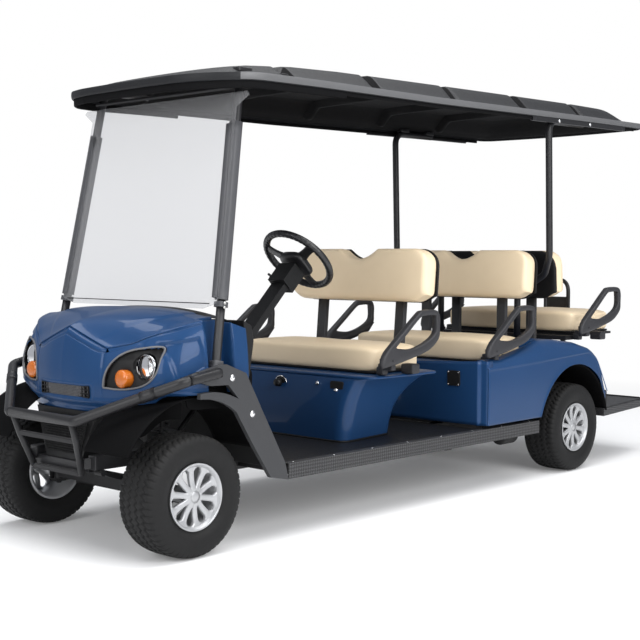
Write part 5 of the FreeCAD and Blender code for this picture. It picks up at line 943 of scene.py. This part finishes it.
def canopy():
    """The moulded roof: z(x, y) over its outline, a light band round its edge, ties, rail plates and bolts; its
    grooves, underside, front skirt and drip rails in a darker copy of the roof plastic, painted shade.
    """
    t = np.linspace(0, 1, 230)
    x = -0.120 - 3.52 * (t + 0.02 * np.sin(2 * math.pi * t) / (2 * math.pi))
    v = np.linspace(-1, 1, 92)
    v = np.sign(v) * (1 - (1 - np.abs(v)) ** 1.25)
    half = roof_half(x)
    y = v[None, :] * half[:, None]
    bow = 0.035 * (1 - (y / ROOF_HALF) ** 2)
    z = roof_height(x[:, None], y, half[:, None])
    first, last = np.clip(1 - t * 12, 0, 1) ** 2, np.clip(t * 12 - 11, 0, 1) ** 2
    along = x[:, None] + bow * first[:, None] - bow * 1.6 * last[:, None]
    top = np.stack([XF + np.minimum(along, -0.085), y, z], -1)
    made = piece("canopy_moulded", [grid(top[:, ::-1])], ROOF, "chassis", ("canopy",), turned=False)
    thicken(made, 0.008)
    made.data.materials.append(ROOF_SHADE)
    # Faces in the cross grooves, and the wall's inner faces, take the darker roof copy: painted shade.
    spot = made.data.vertices
    place = np.empty(len(spot) * 3)
    spot.foreach_get("co", place)
    corners = np.array([tuple(face.vertices) for face in made.data.polygons])
    middle = place.reshape(-1, 3)[corners].mean(1)
    lag = 0.030 * (0.5 - np.abs(middle[:, 1:2]))
    near = np.abs((middle[:, 0] - XF)[:, None] - np.array(GROOVES) - lag).min(1)
    dark = (near < 0.030) & (np.abs(middle[:, 1]) < 0.535)
    made.data.polygons.foreach_set("material_index", dark.astype(np.int32))
    made.modifiers["wall"].material_offset = 1
    loop = np.concatenate([top[0, ::-1], top[1:, 0], top[-1, 1:], top[-2:0:-1, -1]])
    centre = np.array((XF - 1.88, 0, 0))
    inward = centre - loop
    inward[:, 2] = 0
    inward[:, 0] = np.clip(inward[:, 0], -0.5, 0.5)
    inward /= np.linalg.norm(inward, axis=1)[:, None]
    rows = [(0.000, 0.002), (-0.0015, -0.002), (-0.002, -0.010), (-0.0012, -0.020), (0.001, -0.028), (0.004, -0.0315),
            (0.012, -0.032), (0.0125, -0.028), (0.010, -0.006)]
    skirt = np.stack([loop + inward * back + (0, 0, drop) for back, drop in rows], 1)
    skirt[..., 1] = np.clip(skirt[..., 1], -0.6030, 0.6030)
    made = piece("canopy_band", [grid(skirt, True)], ROOF_EDGE, turned=False)
    made.data.materials.append(ROOF)
    ahead = (skirt[:, :1, 0] > XF - 0.26) | (np.arange(len(rows) - 1)[None, :] >= 4)
    made.data.polygons.foreach_set("material_index", ahead.astype(np.int32).reshape(-1)[:len(made.data.polygons)])
    rows = [(0.012, -0.031), (0.010, -0.040), (0.011, -0.060), (0.016, -0.064), (0.021, -0.060), (0.022, -0.031)]
    front = np.stack([loop + inward * back + (0, 0, drop) for back, drop in rows], 1)
    lower = front[(front[:, 0, 0] > XF - 0.9)]
    behind = (lower[:, 0, 0] < XF - 0.28) * (XF - 0.28 - lower[:, 0, 0])
    order = np.argsort(lower[:, 0, 1] + 5 * behind * np.sign(lower[:, 0, 1]))
    piece("canopy_front_skirt", [grid(lower[order])], ROOF_SHADE, turned=False)
    spread = np.linspace(-2.40, -3.40, 24)
    line = np.stack([XF + spread, np.full(24, 0.5905), table(BAND, spread) - 0.043], -1)
    plates, bolts = [sweep(line, block_section(0.016, 0.026, 0.2), (0, 1, 0))], []
    for x_bolt in (-2.67, -3.00):
        bolts += bolt((XF + x_bolt, 0.5985, table(BAND, x_bolt) - 0.043), (0, 1, 0), 0.007, 0.004)
    for x_pad, y_pad in ((-0.36, 0.4725), (-0.58, 0.4725), (-2.70, 0.556), (-2.95, 0.556)):
        plates.append(cushion_form((XF + x_pad - 0.04, y_pad - 0.022, 2.015),
                                   (XF + x_pad + 0.04, y_pad + 0.022, 2.036), 0.2, 0.2, (24, 12)))
    spread = np.linspace(-0.45, -3.52, 40)
    line = np.stack([XF + spread, np.full(40, 0.586), table(BAND, spread) - 0.040], -1)
    rail = sweep(line, block_section(0.012, 0.016, 0.3, 12), (0, 1, 0))
    piece("canopy_drip_rails", both([rail]), ROOF_SHADE)
    piece("canopy_rails", both(plates), STEEL)
    piece("canopy_bolts", both(bolts), CHROME)
    bar = sweep(np.array([(XF - 0.322, -0.50, 1.952), (XF - 0.322, 0.50, 1.952)]), ring_section(0.009, 12), (0, 0, 1))
    piece("screen_top_bar", [bar], STEEL)


# Seat boxes and rear body
def front_pod():
    """The front seat box: a rounded plan that flares with height, slowly and then fast, below a rounded ledge."""
    def outline(front, wide, rear, rear_wide, bend):
        """Half a plan with round corners, from the middle of the front to the middle of the rear."""
        half = [(front, 0, 0), (front, wide, 0), (rear, rear_wide, 0), (rear, 0, 0)]
        return route(half, bend, 14)[:, :2]
    low, high = outline(-1.112, 0.386, -1.530, 0.335, 0.07), outline(-1.150, 0.452, -1.648, 0.500, 0.07)
    middle = np.linspace(0, 1, 12)[:, None]
    low = np.vstack([low[0] * (1 - middle) + low[1] * middle, low[2:]])
    high = np.vstack([high[0] * (1 - middle) + high[1] * middle, high[2:]])
    rise = np.linspace(0, 1, 30)
    blend = (0.22 * rise + 0.78 * rise ** 3)[None, :, None]
    plan = low[:, None] * (1 - blend) + high[:, None] * blend
    z = np.broadcast_to(0.3335 + 0.312 * rise[None, :, None], plan.shape[:2] + (1,))
    left = np.concatenate([plan + (XF, 0), z], -1)
    whole = np.concatenate([left[::-1] * (1, -1, 1), left[1:]])
    made = piece("front_pod_flared", [grid(whole)], PAINT, "chassis", ("front_seat_pod",), turned=False)
    thicken(made, 0.004)
    ledge = cushion_form((XF - 1.684, -0.536, 0.640), (XF - 1.146, 0.536, 0.664), 0.15, 0.45, (120, 24))
    piece("front_pod_ledge", [ledge], PAINT)
    foot = np.concatenate([low[::-1] * (1, -1), low[1:]])
    foot = np.concatenate([foot + (XF, 0), np.full((len(foot), 1), 0.3365)], -1)
    piece("front_pod_foot_seal", [sweep(foot, ring_section(0.005, 8), (0, 0, 1))], TEXTURED)


# Rear body, along the cart from the rear axle and up: its upper edge, and the crease below it
TOP_EDGE = ((-0.333, 0.438), (-0.296, 0.507), (-0.235, 0.620), (-0.190, 0.672), (-0.140, 0.706), (0.0, 0.744),
            (0.220, 0.770), (0.370, 0.770), (0.470, 0.744), (0.760, 0.690), (0.930, 0.690))
CREASE = ((-0.333, 0.424), (-0.296, 0.480), (-0.235, 0.585), (-0.190, 0.650), (-0.110, 0.692), (0.210, 0.676),
          (0.520, 0.664), (0.900, 0.650))


def rear_body():
    """The rear body: side panels with a creased shoulder over round arches, the deck, the front wall and liners, the
    liners near-black as painted shade.
    """
    x = np.concatenate([np.linspace(0.904, 0.3765, 30), np.linspace(0.3755, -0.15, 54),
                        np.linspace(-0.155, -0.3325, 34)])
    arch, foot = 0.376, 0.3505
    across = np.clip(1 - ((x - ARCH_X) / arch) ** 2, 0, 1)
    base = np.maximum(foot, ARCH_Z + arch * np.sqrt(across))
    near = np.linspace(-0.02, 0.02, 5)[:, None]
    edge, top = (table(pairs, x[None, :] + near).mean(0) for pairs in (CREASE, TOP_EDGE))
    deck = np.where((x > 0.376) & (x < 0.770), 0.652, np.where(x > 0.376, 0.664, top))
    up = np.linspace(0, 1, 34)[None, :]
    side_z = base[:, None] + (edge - base)[:, None] * (1 - (1 - up) ** 1.15)
    lip = np.exp(-(side_z - base[:, None]) / 0.011) * (across > 0.02)[:, None]
    side_y = 0.6035 + 0.0035 * np.sin(math.pi * np.clip((side_z - 0.35) / 0.34, 0, 1)) + 0.0045 * lip
    side_y = side_y + 0.002 * np.exp(-((side_z - edge[:, None] + 0.004) / 0.0045) ** 2)
    shoulder = np.linspace(0, 1, 12)[None, 1:]
    rise = edge[:, None] + (top - edge)[:, None] * np.sin(shoulder * math.pi / 2) ** 0.9
    drawn = 0.604 - 0.058 * (1 - np.cos(shoulder * math.pi / 2)) - 0.004
    drawn = np.broadcast_to(drawn, rise.shape)
    inner_y = np.concatenate([[0.5385, 0.5345], np.linspace(0.534, 0, 16)])
    inner = np.broadcast_to(inner_y, (len(x), len(inner_y)))
    blend = np.concatenate([[0, 0.5], np.ones(16)])[None, :]
    inner_z = top[:, None] * (1 - blend) + deck[:, None] * blend
    y = np.concatenate([side_y, drawn, inner], 1)
    z = np.concatenate([side_z, rise, inner_z], 1)
    rear = 0.020 * (1 - ease(x, -0.3325, -0.20))[:, None] * (y > 0.5)
    left = np.stack([np.broadcast_to((XR + x)[:, None], y.shape), y - rear, z], -1)
    whole = np.concatenate([left, left[:, -2::-1] * (1, -1, 1)], 1)
    made = piece("rear_body_panels", [grid(whole)], PAINT, "chassis", ("rear_body",), turned=False)
    thicken(made, -0.004)
    # The crease bead and the post by the front groove are coloured lighter than the body paint: a painted highlight.
    bead = np.stack([XR + x, side_y[:, -1] + 0.0005, edge], -1)[2:-2]
    post = np.stack([np.full(20, XR + 0.898), np.full(20, 0.6065), np.linspace(0.356, 0.645, 20)], -1)
    beads = [sweep(bead, ring_section(0.003, 8), (0, 1, 0)), sweep(post, ring_section(0.002, 8), (0, 1, 0))]
    piece("rear_body_beads", both(beads), CREASE_HIGHLIGHT_PAINT)
    corner = route([(0.928, 0, 0), (0.928, 0.556, 0), (0.912, 0.566, 0), (0.906, 0.6055, 0), (0.860, 0.6055, 0)],
                   0.012, 10)[:, :2]
    rows = np.linspace(0, 1, 20)
    ceiling = 0.6635 + 0.025 * ease(corner[:, 1], 0.536, 0.550)
    z = foot + (ceiling[:, None] - foot) * rows[None, :]
    plan = np.broadcast_to(corner[:, None] + (XR, 0), (len(corner), len(rows), 2))
    left = np.concatenate([plan, z[..., None]], -1)
    whole = np.concatenate([left[::-1] * (1, -1, 1), left[1:]])
    made = piece("rear_body_front_wall", [grid(whole)], PAINT, turned=False)
    thicken(made, 0.004)
    deck_front = cushion_form((XR + 0.765, -0.534, 0.645), (XR + 0.926, 0.534, 0.664), 0.1, 0.3, (80, 16))
    piece("rear_body_front_deck", [deck_front], PAINT)

    def liner_form(middle_x, middle_z, radius, start, stop, wide):
        """Part of a drum about a line across the cart, from one bearing to another and from inside to outside."""
        angle = np.linspace(math.radians(start), math.radians(stop), 60)[:, None]
        wide = np.linspace(*wide, 14)[None, :]
        return np.stack([middle_x + radius * np.cos(angle) + 0 * wide, wide + 0 * angle,
                         middle_z + radius * np.sin(angle) + 0 * wide], -1)
    liner = liner_form(XR + ARCH_X, ARCH_Z, 0.371, 8, 168, (0.33, 0.600))
    down = np.linspace(0, 1, 12)
    inner = np.stack([np.broadcast_to(liner[:, :1, 0], (60, 12)), np.full((60, 12), 0.331),
                      liner[:, :1, 2] * (1 - down) + 0.36 * down], -1)
    made = piece("rear_arch_liners", both([grid(liner), grid(inner)]), SHADED_LINER, turned=False)
    thicken(made, 0.003)
    liner = liner_form(XF - 0.02, 0.2635, 0.388, 28, 158, (0.27, 0.556))
    made = piece("front_arch_liners", both([grid(liner)]), SHADED_LINER, turned=False)
    thicken(made, 0.003)
    plates = [cushion_form((XF - 0.36, 0.526, 0.600), (XF + 0.01, 0.534, 0.765), 0.1, 0.3, (40, 12))]
    piece("front_inner_plates", both(plates), SHADED_LINER)
    ends = [cushion_form((XR - 0.408, 0.470, 0.3355), (XR - 0.334, 0.560, 0.440), 0.2, 0.25, (48, 24))]
    piece("rear_body_end_blocks", both(ends), TEXTURED)
    hung = [lathe([(0, 0.075), (0.040, 0.070), (0.045, 0.055), (0.045, -0.055), (0.040, -0.070), (0, -0.075)],
                  (XF - 2.385, 0.450, 0.243), 48, (1, 0, 0), False),
            cushion_form((XF - 1.945, 0.37, 0.212), (XF - 1.865, 0.43, 0.285), 0.4, 0.4, (32, 16))]
    piece("underbody_cans", hung, TEXTURED)


def fittings():
    """Socket, knob, key plate and vent plate on the seat boxes, braces' bolts, sleeves, clamps and step lip."""
    face = XF - 1.140
    forward = (1, 0, 0)
    ring = lathe([(0.039, 0.001), (0.0425, 0.005), (0.046, 0.001), (0.0425, -0.002)], (face, -0.071, 0.586), 48,
                 forward, True)
    key = lathe([(0, 0.012), (0.006, 0.012), (0.008, 0.008), (0.011, 0.003), (0.011, 0)],
                (face + 0.004, 0.315, 0.584), 32, forward, False)
    knob = lathe([(0, 0.016), (0.009, 0.015), (0.010, 0.010), (0.006, 0.004), (0.006, -0.004)],
                 (face, 0.194, 0.610), 24, forward, False)
    piece("pod_bright_parts", [ring, key, knob], CHROME)
    dark = [lathe([(0, 0.004), (0.026, 0.004), (0.040, 0.002), (0.040, -0.006)], (face, -0.071, 0.586), 48,
                  forward, False),
            cushion_form((face - 0.004, 0.272, 0.541), (face + 0.005, 0.358, 0.627), 0.2, 0.2, (40, 20)),
            cushion_form((XR + 0.925, 0.362, 0.550), (XR + 0.935, 0.444, 0.632), 0.15, 0.2, (40, 20)),
            lathe([(0, 0.040), (0.018, 0.037), (0.021, 0.016), (0.013, 0.0)], (face, -0.071, 0.596), 24,
                  forward, False)]
    piece("pod_dark_parts", dark, TEXTURED)
    small = []
    for y in (0.370, 0.436):
        for z in (0.558, 0.624):
            small += bolt((XR + 0.9345, y, z), forward, 0.003, 0.002)
    piece("plate_screws", small, CHROME)
    bolts = []
    for x, z in ((-0.181, 0.729), (-0.295, 0.569)):
        bolts += bolt((XF + x, 0.6035, z), (0, 1, 0), 0.010, 0.006)
    for spot in np.linspace(-0.56, -2.42, 8):
        bolts += bolt((XF + spot, 0.584, 0.3315), (0, 0, 1), 0.005, 0.003)
    piece("body_bolts", both(bolts), CHROME)
    foot, top = np.array(STRUT_FOOT), np.array(STRUT_TOP)

    def on_strut(z, out=(0, 0, 0)):
        """The front strut's middle line at a height, moved aside."""
        return foot + (top - foot) * (z - foot[2]) / (top[2] - foot[2]) + np.array(out)
    aside = (0.018, -0.014, 0)
    sleeves = [sweep(np.linspace(low, high, count), section, (0, 1, 0)) for low, high, count, section in (
        (on_strut(1.05), on_strut(1.80), 12, block_section(0.050, 0.048, 0.55, 24)),
        (on_strut(1.06, aside), on_strut(1.79, aside), 12, block_section(0.030, 0.030, 0.4, 16)),
        (on_strut(1.020), on_strut(1.042), 6, block_section(0.047, 0.047, 0.35, 24)),
        (on_strut(0.775), on_strut(0.80), 4, block_section(0.050, 0.050, 0.5, 24)))]
    arm = np.linspace((XF + 0.060, 0.6045, 0.733), (XF - 0.105, 0.604, 0.756), 10)
    grips = [sweep(arm, block_section(0.052, 0.040, 0.6, 24), (0, 1, 0))]
    arm = np.linspace((XF + 0.150, 0.512, 0.686), (XF + 0.185, 0.462, 0.664), 4)
    grips.append(sweep(arm, ring_section(0.0245, 24), (0, 0, 1)))
    piece("guard_grips", both(grips), STEEL)
    piece("strut_sleeves", both(sleeves), SLEEVE)
    clamp = []
    for z in (1.02, 1.038):
        clamp += bolt(on_strut(z, (0.0, 0.024, 0)), (0, 1, 0), 0.005, 0.004)
    piece("strut_clamp_bolts", both(clamp), ZINC)
    line = np.stack([np.full(30, on_strut(1.035)[0] + 0.030), np.linspace(-0.50, 0.50, 30), np.full(30, 1.035)], -1)
    seal = sweep(line, block_section(0.004, 0.006, 0.5, 8), (0, 0, 1))
    piece("screen_foot_line", [seal], TEXTURED)
    deck = [(XR - 0.330, 0.582, 0.338), (XR - 0.975, 0.492, 0.338), (XR - 0.975, -0.492, 0.338),
            (XR - 0.330, -0.582, 0.338)]
    lip = sweep(route(deck, 0.05), block_section(0.010, 0.010, 0.5, 12), (0, 0, 1))
    piece("step_raised_lip", [lip], TREAD)


def uprights():
    """The channel bars that carry the seat backs, rounded, with slots down their faces."""
    bars, slots, y = [], [], 0.276
    for x, way, low in ((XF - 1.6675, -1, 0.664), (XR + 0.3175, -1, 0.770), (XR - 0.0145, 1, 0.743)):
        middle = x + way * 0.014
        lean = 0.030 if x > XF - 1.7 else 0.0
        line = np.array([(middle + lean, y, low + 0.001), (middle + lean * 0.55, y, low + 0.15), (middle, y, 1.0065)])
        bars.append(sweep(line, block_section(0.060, 0.029, 0.22, 32), (0, 1, 0)))
        for z in np.linspace(low + 0.06, 0.96, 4) if not lean else ():
            slots.append(cushion_form((middle - 0.0145, y - 0.006, z), (middle + 0.0145, y + 0.006, z + 0.03),
                                      0.4, 0.4, (20, 10)))
        bars.append(cushion_form((middle - 0.030, y - 0.030, low), (middle + 0.030, y + 0.030, low + 0.012),
                                 0.3, 0.3, (30, 12)))
    piece("back_uprights", both(bars), BRACE, "chassis", ("seatback_supports",))
    piece("upright_slots", both(slots), GLOSS_BLACK)


def armrest_webs():
    """The boat-shaped base under each armrest: a panel from the seat board up to the loop's lower bar."""
    webs = []
    for front_x, low in ARMRESTS:
        t = np.linspace(0, 1, 40)
        bottom = np.stack([front_x - 0.030 - 0.35 * t, np.zeros(40), low + 0.045 + 0.075 * t ** 1.3], -1)
        upper = np.stack([front_x - 0.020 - 0.41 * t, np.zeros(40), low + 0.085 + 0.088 * t ** 1.6], -1)
        near = np.stack([bottom, upper], 1)
        outer, inner = near + (0, 0.588, 0), near + (0, 0.560, 0)
        shell = np.concatenate([outer, inner[:, ::-1]], 1)
        webs.append(grid(shell, False, True))
        webs.append(cushion_form((front_x - 0.31, 0.500, low - 0.004), (front_x - 0.25, 0.578, low + 0.046),
                                 0.25, 0.25, (40, 20)))
    piece("armrest_bases", both(webs), ARM)


def steering():
    """The steering wheel: a ring with finger ridges, three tapering spokes and a hub pad; the column's shroud."""
    centre, turn = np.array(JOINTS["steering_wheel_turn"]), math.radians(44.74)
    forward = np.array((math.cos(turn), 0, math.sin(turn)))
    along = np.array((-math.sin(turn), 0, math.cos(turn)))

    def put(part):
        """A part made flat about the origin, tilted to the column and set on its joint."""
        spots, quads = part
        return centre + spots[:, :1] * forward + spots[:, 1:2] * (0, 1, 0) + spots[:, 2:] * along, quads
    around = np.linspace(0, 2 * math.pi, 176, endpoint=False)[:, None]
    loop = np.linspace(0, 2 * math.pi, 16, endpoint=False)[None, :]
    grip = 0.0172 - 0.0014 * (np.abs(np.sin(around * 22)) ** 6) * (np.sin(loop) < 0.3)
    radius = 0.1715 + grip * np.cos(loop)
    ring = np.stack([radius * np.cos(around), radius * np.sin(around), grip * np.sin(loop) + 0 * around], -1)
    parts = [grid(ring, True, True)]
    for degrees in (60, 180, 300):
        heading = math.radians(degrees)
        out = np.array((math.cos(heading), math.sin(heading), 0))
        over = np.array((-math.sin(heading), math.cos(heading), 0))
        t = np.linspace(0, 1, 24)
        path = out * (0.020 + 0.150 * t)[:, None] + np.array((0, 0, 1)) * (-0.017 + 0.015 * t ** 2)[:, None]
        parts.append(sweep(path, block_section(0.058, 0.018, 0.5, 24), over, False,
                           1.35 - 0.60 * np.sin(math.pi * t * 0.72)))
    parts.append(cushion_form((-0.078, -0.076, -0.044), (0.066, 0.076, -0.002), 0.6, 0.5, (80, 32)))
    piece("steering_wheel_detailed", [put(part) for part in parts], GLOSS_GREY, "steering_wheel",
          ("steering_wheel",))
    cap = lathe([(0, -0.0035), (0.020, -0.0035), (0.022, -0.006)], (0, 0, 0), 32, (0, 0, 1), False)
    piece("steering_hub_cap", [put(cap)], TEXTURED, "steering_wheel")
    stalk = np.array([(-0.018, -0.06, -0.11), (-0.03, -0.13, -0.09), (-0.03, -0.17, -0.07)])
    parts = [cushion_form((-0.050, -0.045, -0.150), (0.034, 0.045, -0.058), 0.45, 0.4, (64, 32)),
             cushion_form((-0.030, -0.120, -0.120), (0.0, -0.040, -0.100), 0.5, 0.5, (32, 16)),
             sweep(stalk, ring_section(0.006, 12), (0, 0, 1))]
    piece("column_shroud", [put(part) for part in parts], TEXTURED)


def suspension():
    """Front dampers: a tube inside a coil whose centre line is a helix round it."""
    low, high = np.array((XF - 0.050, 0.262, 0.300)), np.array((XF - 0.095, 0.262, 0.560))
    parts = [sweep(np.linspace(low, low + (high - low) * 0.55, 6), ring_section(0.020, 20), (0, 1, 0)),
             sweep(np.linspace(low, high, 6), ring_section(0.010, 16), (0, 1, 0))]
    t = np.linspace(0.12, 0.92, 170)[:, None]
    turn = t * 2 * math.pi * 8
    helix = low + (high - low) * t + 0.032 * (np.cos(turn) * (1, 0, 0) + np.sin(turn) * (0, 1, 0))
    parts.append(sweep(helix, ring_section(0.0045, 6), (0, 0, 1)))
    piece("front_dampers", both(parts), IRON)


def fascia():
    """Mesh over the lower fascia: fine bars up and across, set on its front face."""
    parts = []
    front = XF + 0.2335
    for z in np.linspace(0.405, 0.560, 16):
        half = 0.110 + (z - 0.375) * 0.36
        line = np.stack([np.full(12, front), np.linspace(-half, half, 12), np.full(12, z)], -1)
        parts.append(sweep(line, block_section(0.003, 0.004, 0.6, 6), (0, 0, 1)))
    for lean in np.linspace(-1, 1, 31):
        line = np.array([(front, lean * 0.118, 0.402), (front, lean * 0.176, 0.562)])
        parts.append(sweep(line, block_section(0.003, 0.004, 0.6, 6), (0, 1, 0)))
    piece("fascia_mesh", parts, TEXTURED)


# Every piece in turn
rolling_stock()
seats()
tubes()
armrests()
armrest_webs()
uprights()
front_body()
lamps_detailed()
fascia()
canopy()
front_pod()
rear_body()
fittings()
steering()
suspension()
soften()
for name in ("rocker_panels", "rear_step"):
    CAD[name].data.materials[0] = TREAD
CAD["side_braces"].data.materials[0] = BRACE


# Camera, lights and floor
def camera():
    """A camera with the photograph's view: where it stands, its three angles and its focal length in pixels."""
    focal, middle, across = 1214.916, 332.686, 640
    yaw, pitch, roll = math.radians(-137.4807), math.radians(-2.833), math.radians(0.2404)
    ahead = Vector((math.cos(pitch) * math.cos(yaw), math.cos(pitch) * math.sin(yaw), math.sin(pitch)))
    right = ahead.cross(Vector((0, 0, 1))).normalized()
    up = right.cross(ahead)
    side = right * math.cos(roll) + up * math.sin(roll)
    top = up * math.cos(roll) - right * math.sin(roll)
    data = bpy.data.cameras.new("view")
    data.sensor_width = 36
    data.lens = data.sensor_width * focal / across
    data.shift_x = (across / 2 - middle) / across
    lens = bpy.data.objects.new("view", data)
    turn = Matrix((side, top, -ahead)).transposed().to_4x4()
    lens.matrix_world = Matrix.Translation((XF + 3.2296, 4.2913, 1.2184)) @ turn
    bpy.context.scene.collection.objects.link(lens)
    bpy.context.scene.camera = lens


def lamp(name, place, target, size, power):
    """A soft square light that faces a point."""
    data = bpy.data.lights.new(name, "AREA")
    data.shape = "RECTANGLE"
    data.size, data.size_y = size
    data.energy = power
    light = bpy.data.objects.new(name, data)
    light.location = place
    light.rotation_mode = "QUATERNION"
    light.rotation_quaternion = (Vector(target) - Vector(place)).to_track_quat("-Z", "Y")
    bpy.context.scene.collection.objects.link(light)


def floor_fading():
    """A pale floor that fades to plain white away from the cart, for the camera alone; near the cart a faint white
    glow, painted light, lifts the cast shadow.
    """
    material, shader, where, fill, add = shader_of("floor_white")
    fill(shader, {"Base Color": (0.95, 0.95, 0.95, 1), "Roughness": 0.9, "Specular IOR Level": 0.1})
    away = add("VectorMath", {0: where}, operation="LENGTH")["Value"]
    # Even near the cart a faint white glow is mixed in for the camera: painted light that lifts the cast shadow.
    fade = add("MapRange", {"From Min": 2.6, "From Max": 6.5, "To Min": 0.11, "Value": away})["Result"]
    seen = add("Math", {0: fade, 1: add("LightPath", {})["Is Camera Ray"]}, operation="MULTIPLY")[0]
    mix = add("MixShader", {0: seen, 1: shader.outputs[0], 2: add("Emission", {})[0]})[0]
    fill(material.node_tree.nodes["Material Output"], {"Surface": mix})
    return material


def studio():
    """White background to the camera and through clear pieces, three soft lamps, and a pale floor."""
    world = bpy.data.worlds.new("studio")
    world.use_nodes = True
    bpy.context.scene.world = world
    tree = world.node_tree
    fill, add = wiring(tree)
    back = tree.nodes["Background"]
    fill(back, {"Color": (0.9, 0.93, 1, 1), "Strength": 0.42})
    white = add("Background", {"Color": (1, 1, 1, 1), "Strength": 1.0})[0]
    path = add("LightPath", {})
    seen = add("Math", {0: path["Is Camera Ray"], 1: path["Is Transmission Ray"]}, operation="MAXIMUM")[0]
    mix = add("MixShader", {0: seen, 1: back.outputs[0], 2: white})[0]
    fill(tree.nodes["World Output"], {"Surface": mix})
    bpy.context.scene.view_settings.view_transform = "Standard"
    lamp("above", (0.5, 0.5, 5.2), (0, 0, 0.6), (7, 5), 440)
    lamp("left", (1.5, 6.0, 3.2), (0.0, 0, 0.8), (5, 3), 290)
    lamp("front", (6.5, 1.0, 2.6), (1.0, 0, 0.8), (3, 3), 130)
    floor_mesh = bpy.data.meshes.new("floor_stage")
    floor_mesh.from_pydata([(-40, -40, 0), (40, -40, 0), (40, 40, 0), (-40, 40, 0)], [], [(0, 1, 2, 3)])
    ground = bpy.data.objects.new("floor_stage", floor_mesh)
    bpy.context.scene.collection.objects.link(ground)
    ground.data.materials.append(floor_fading())


camera()
studio()
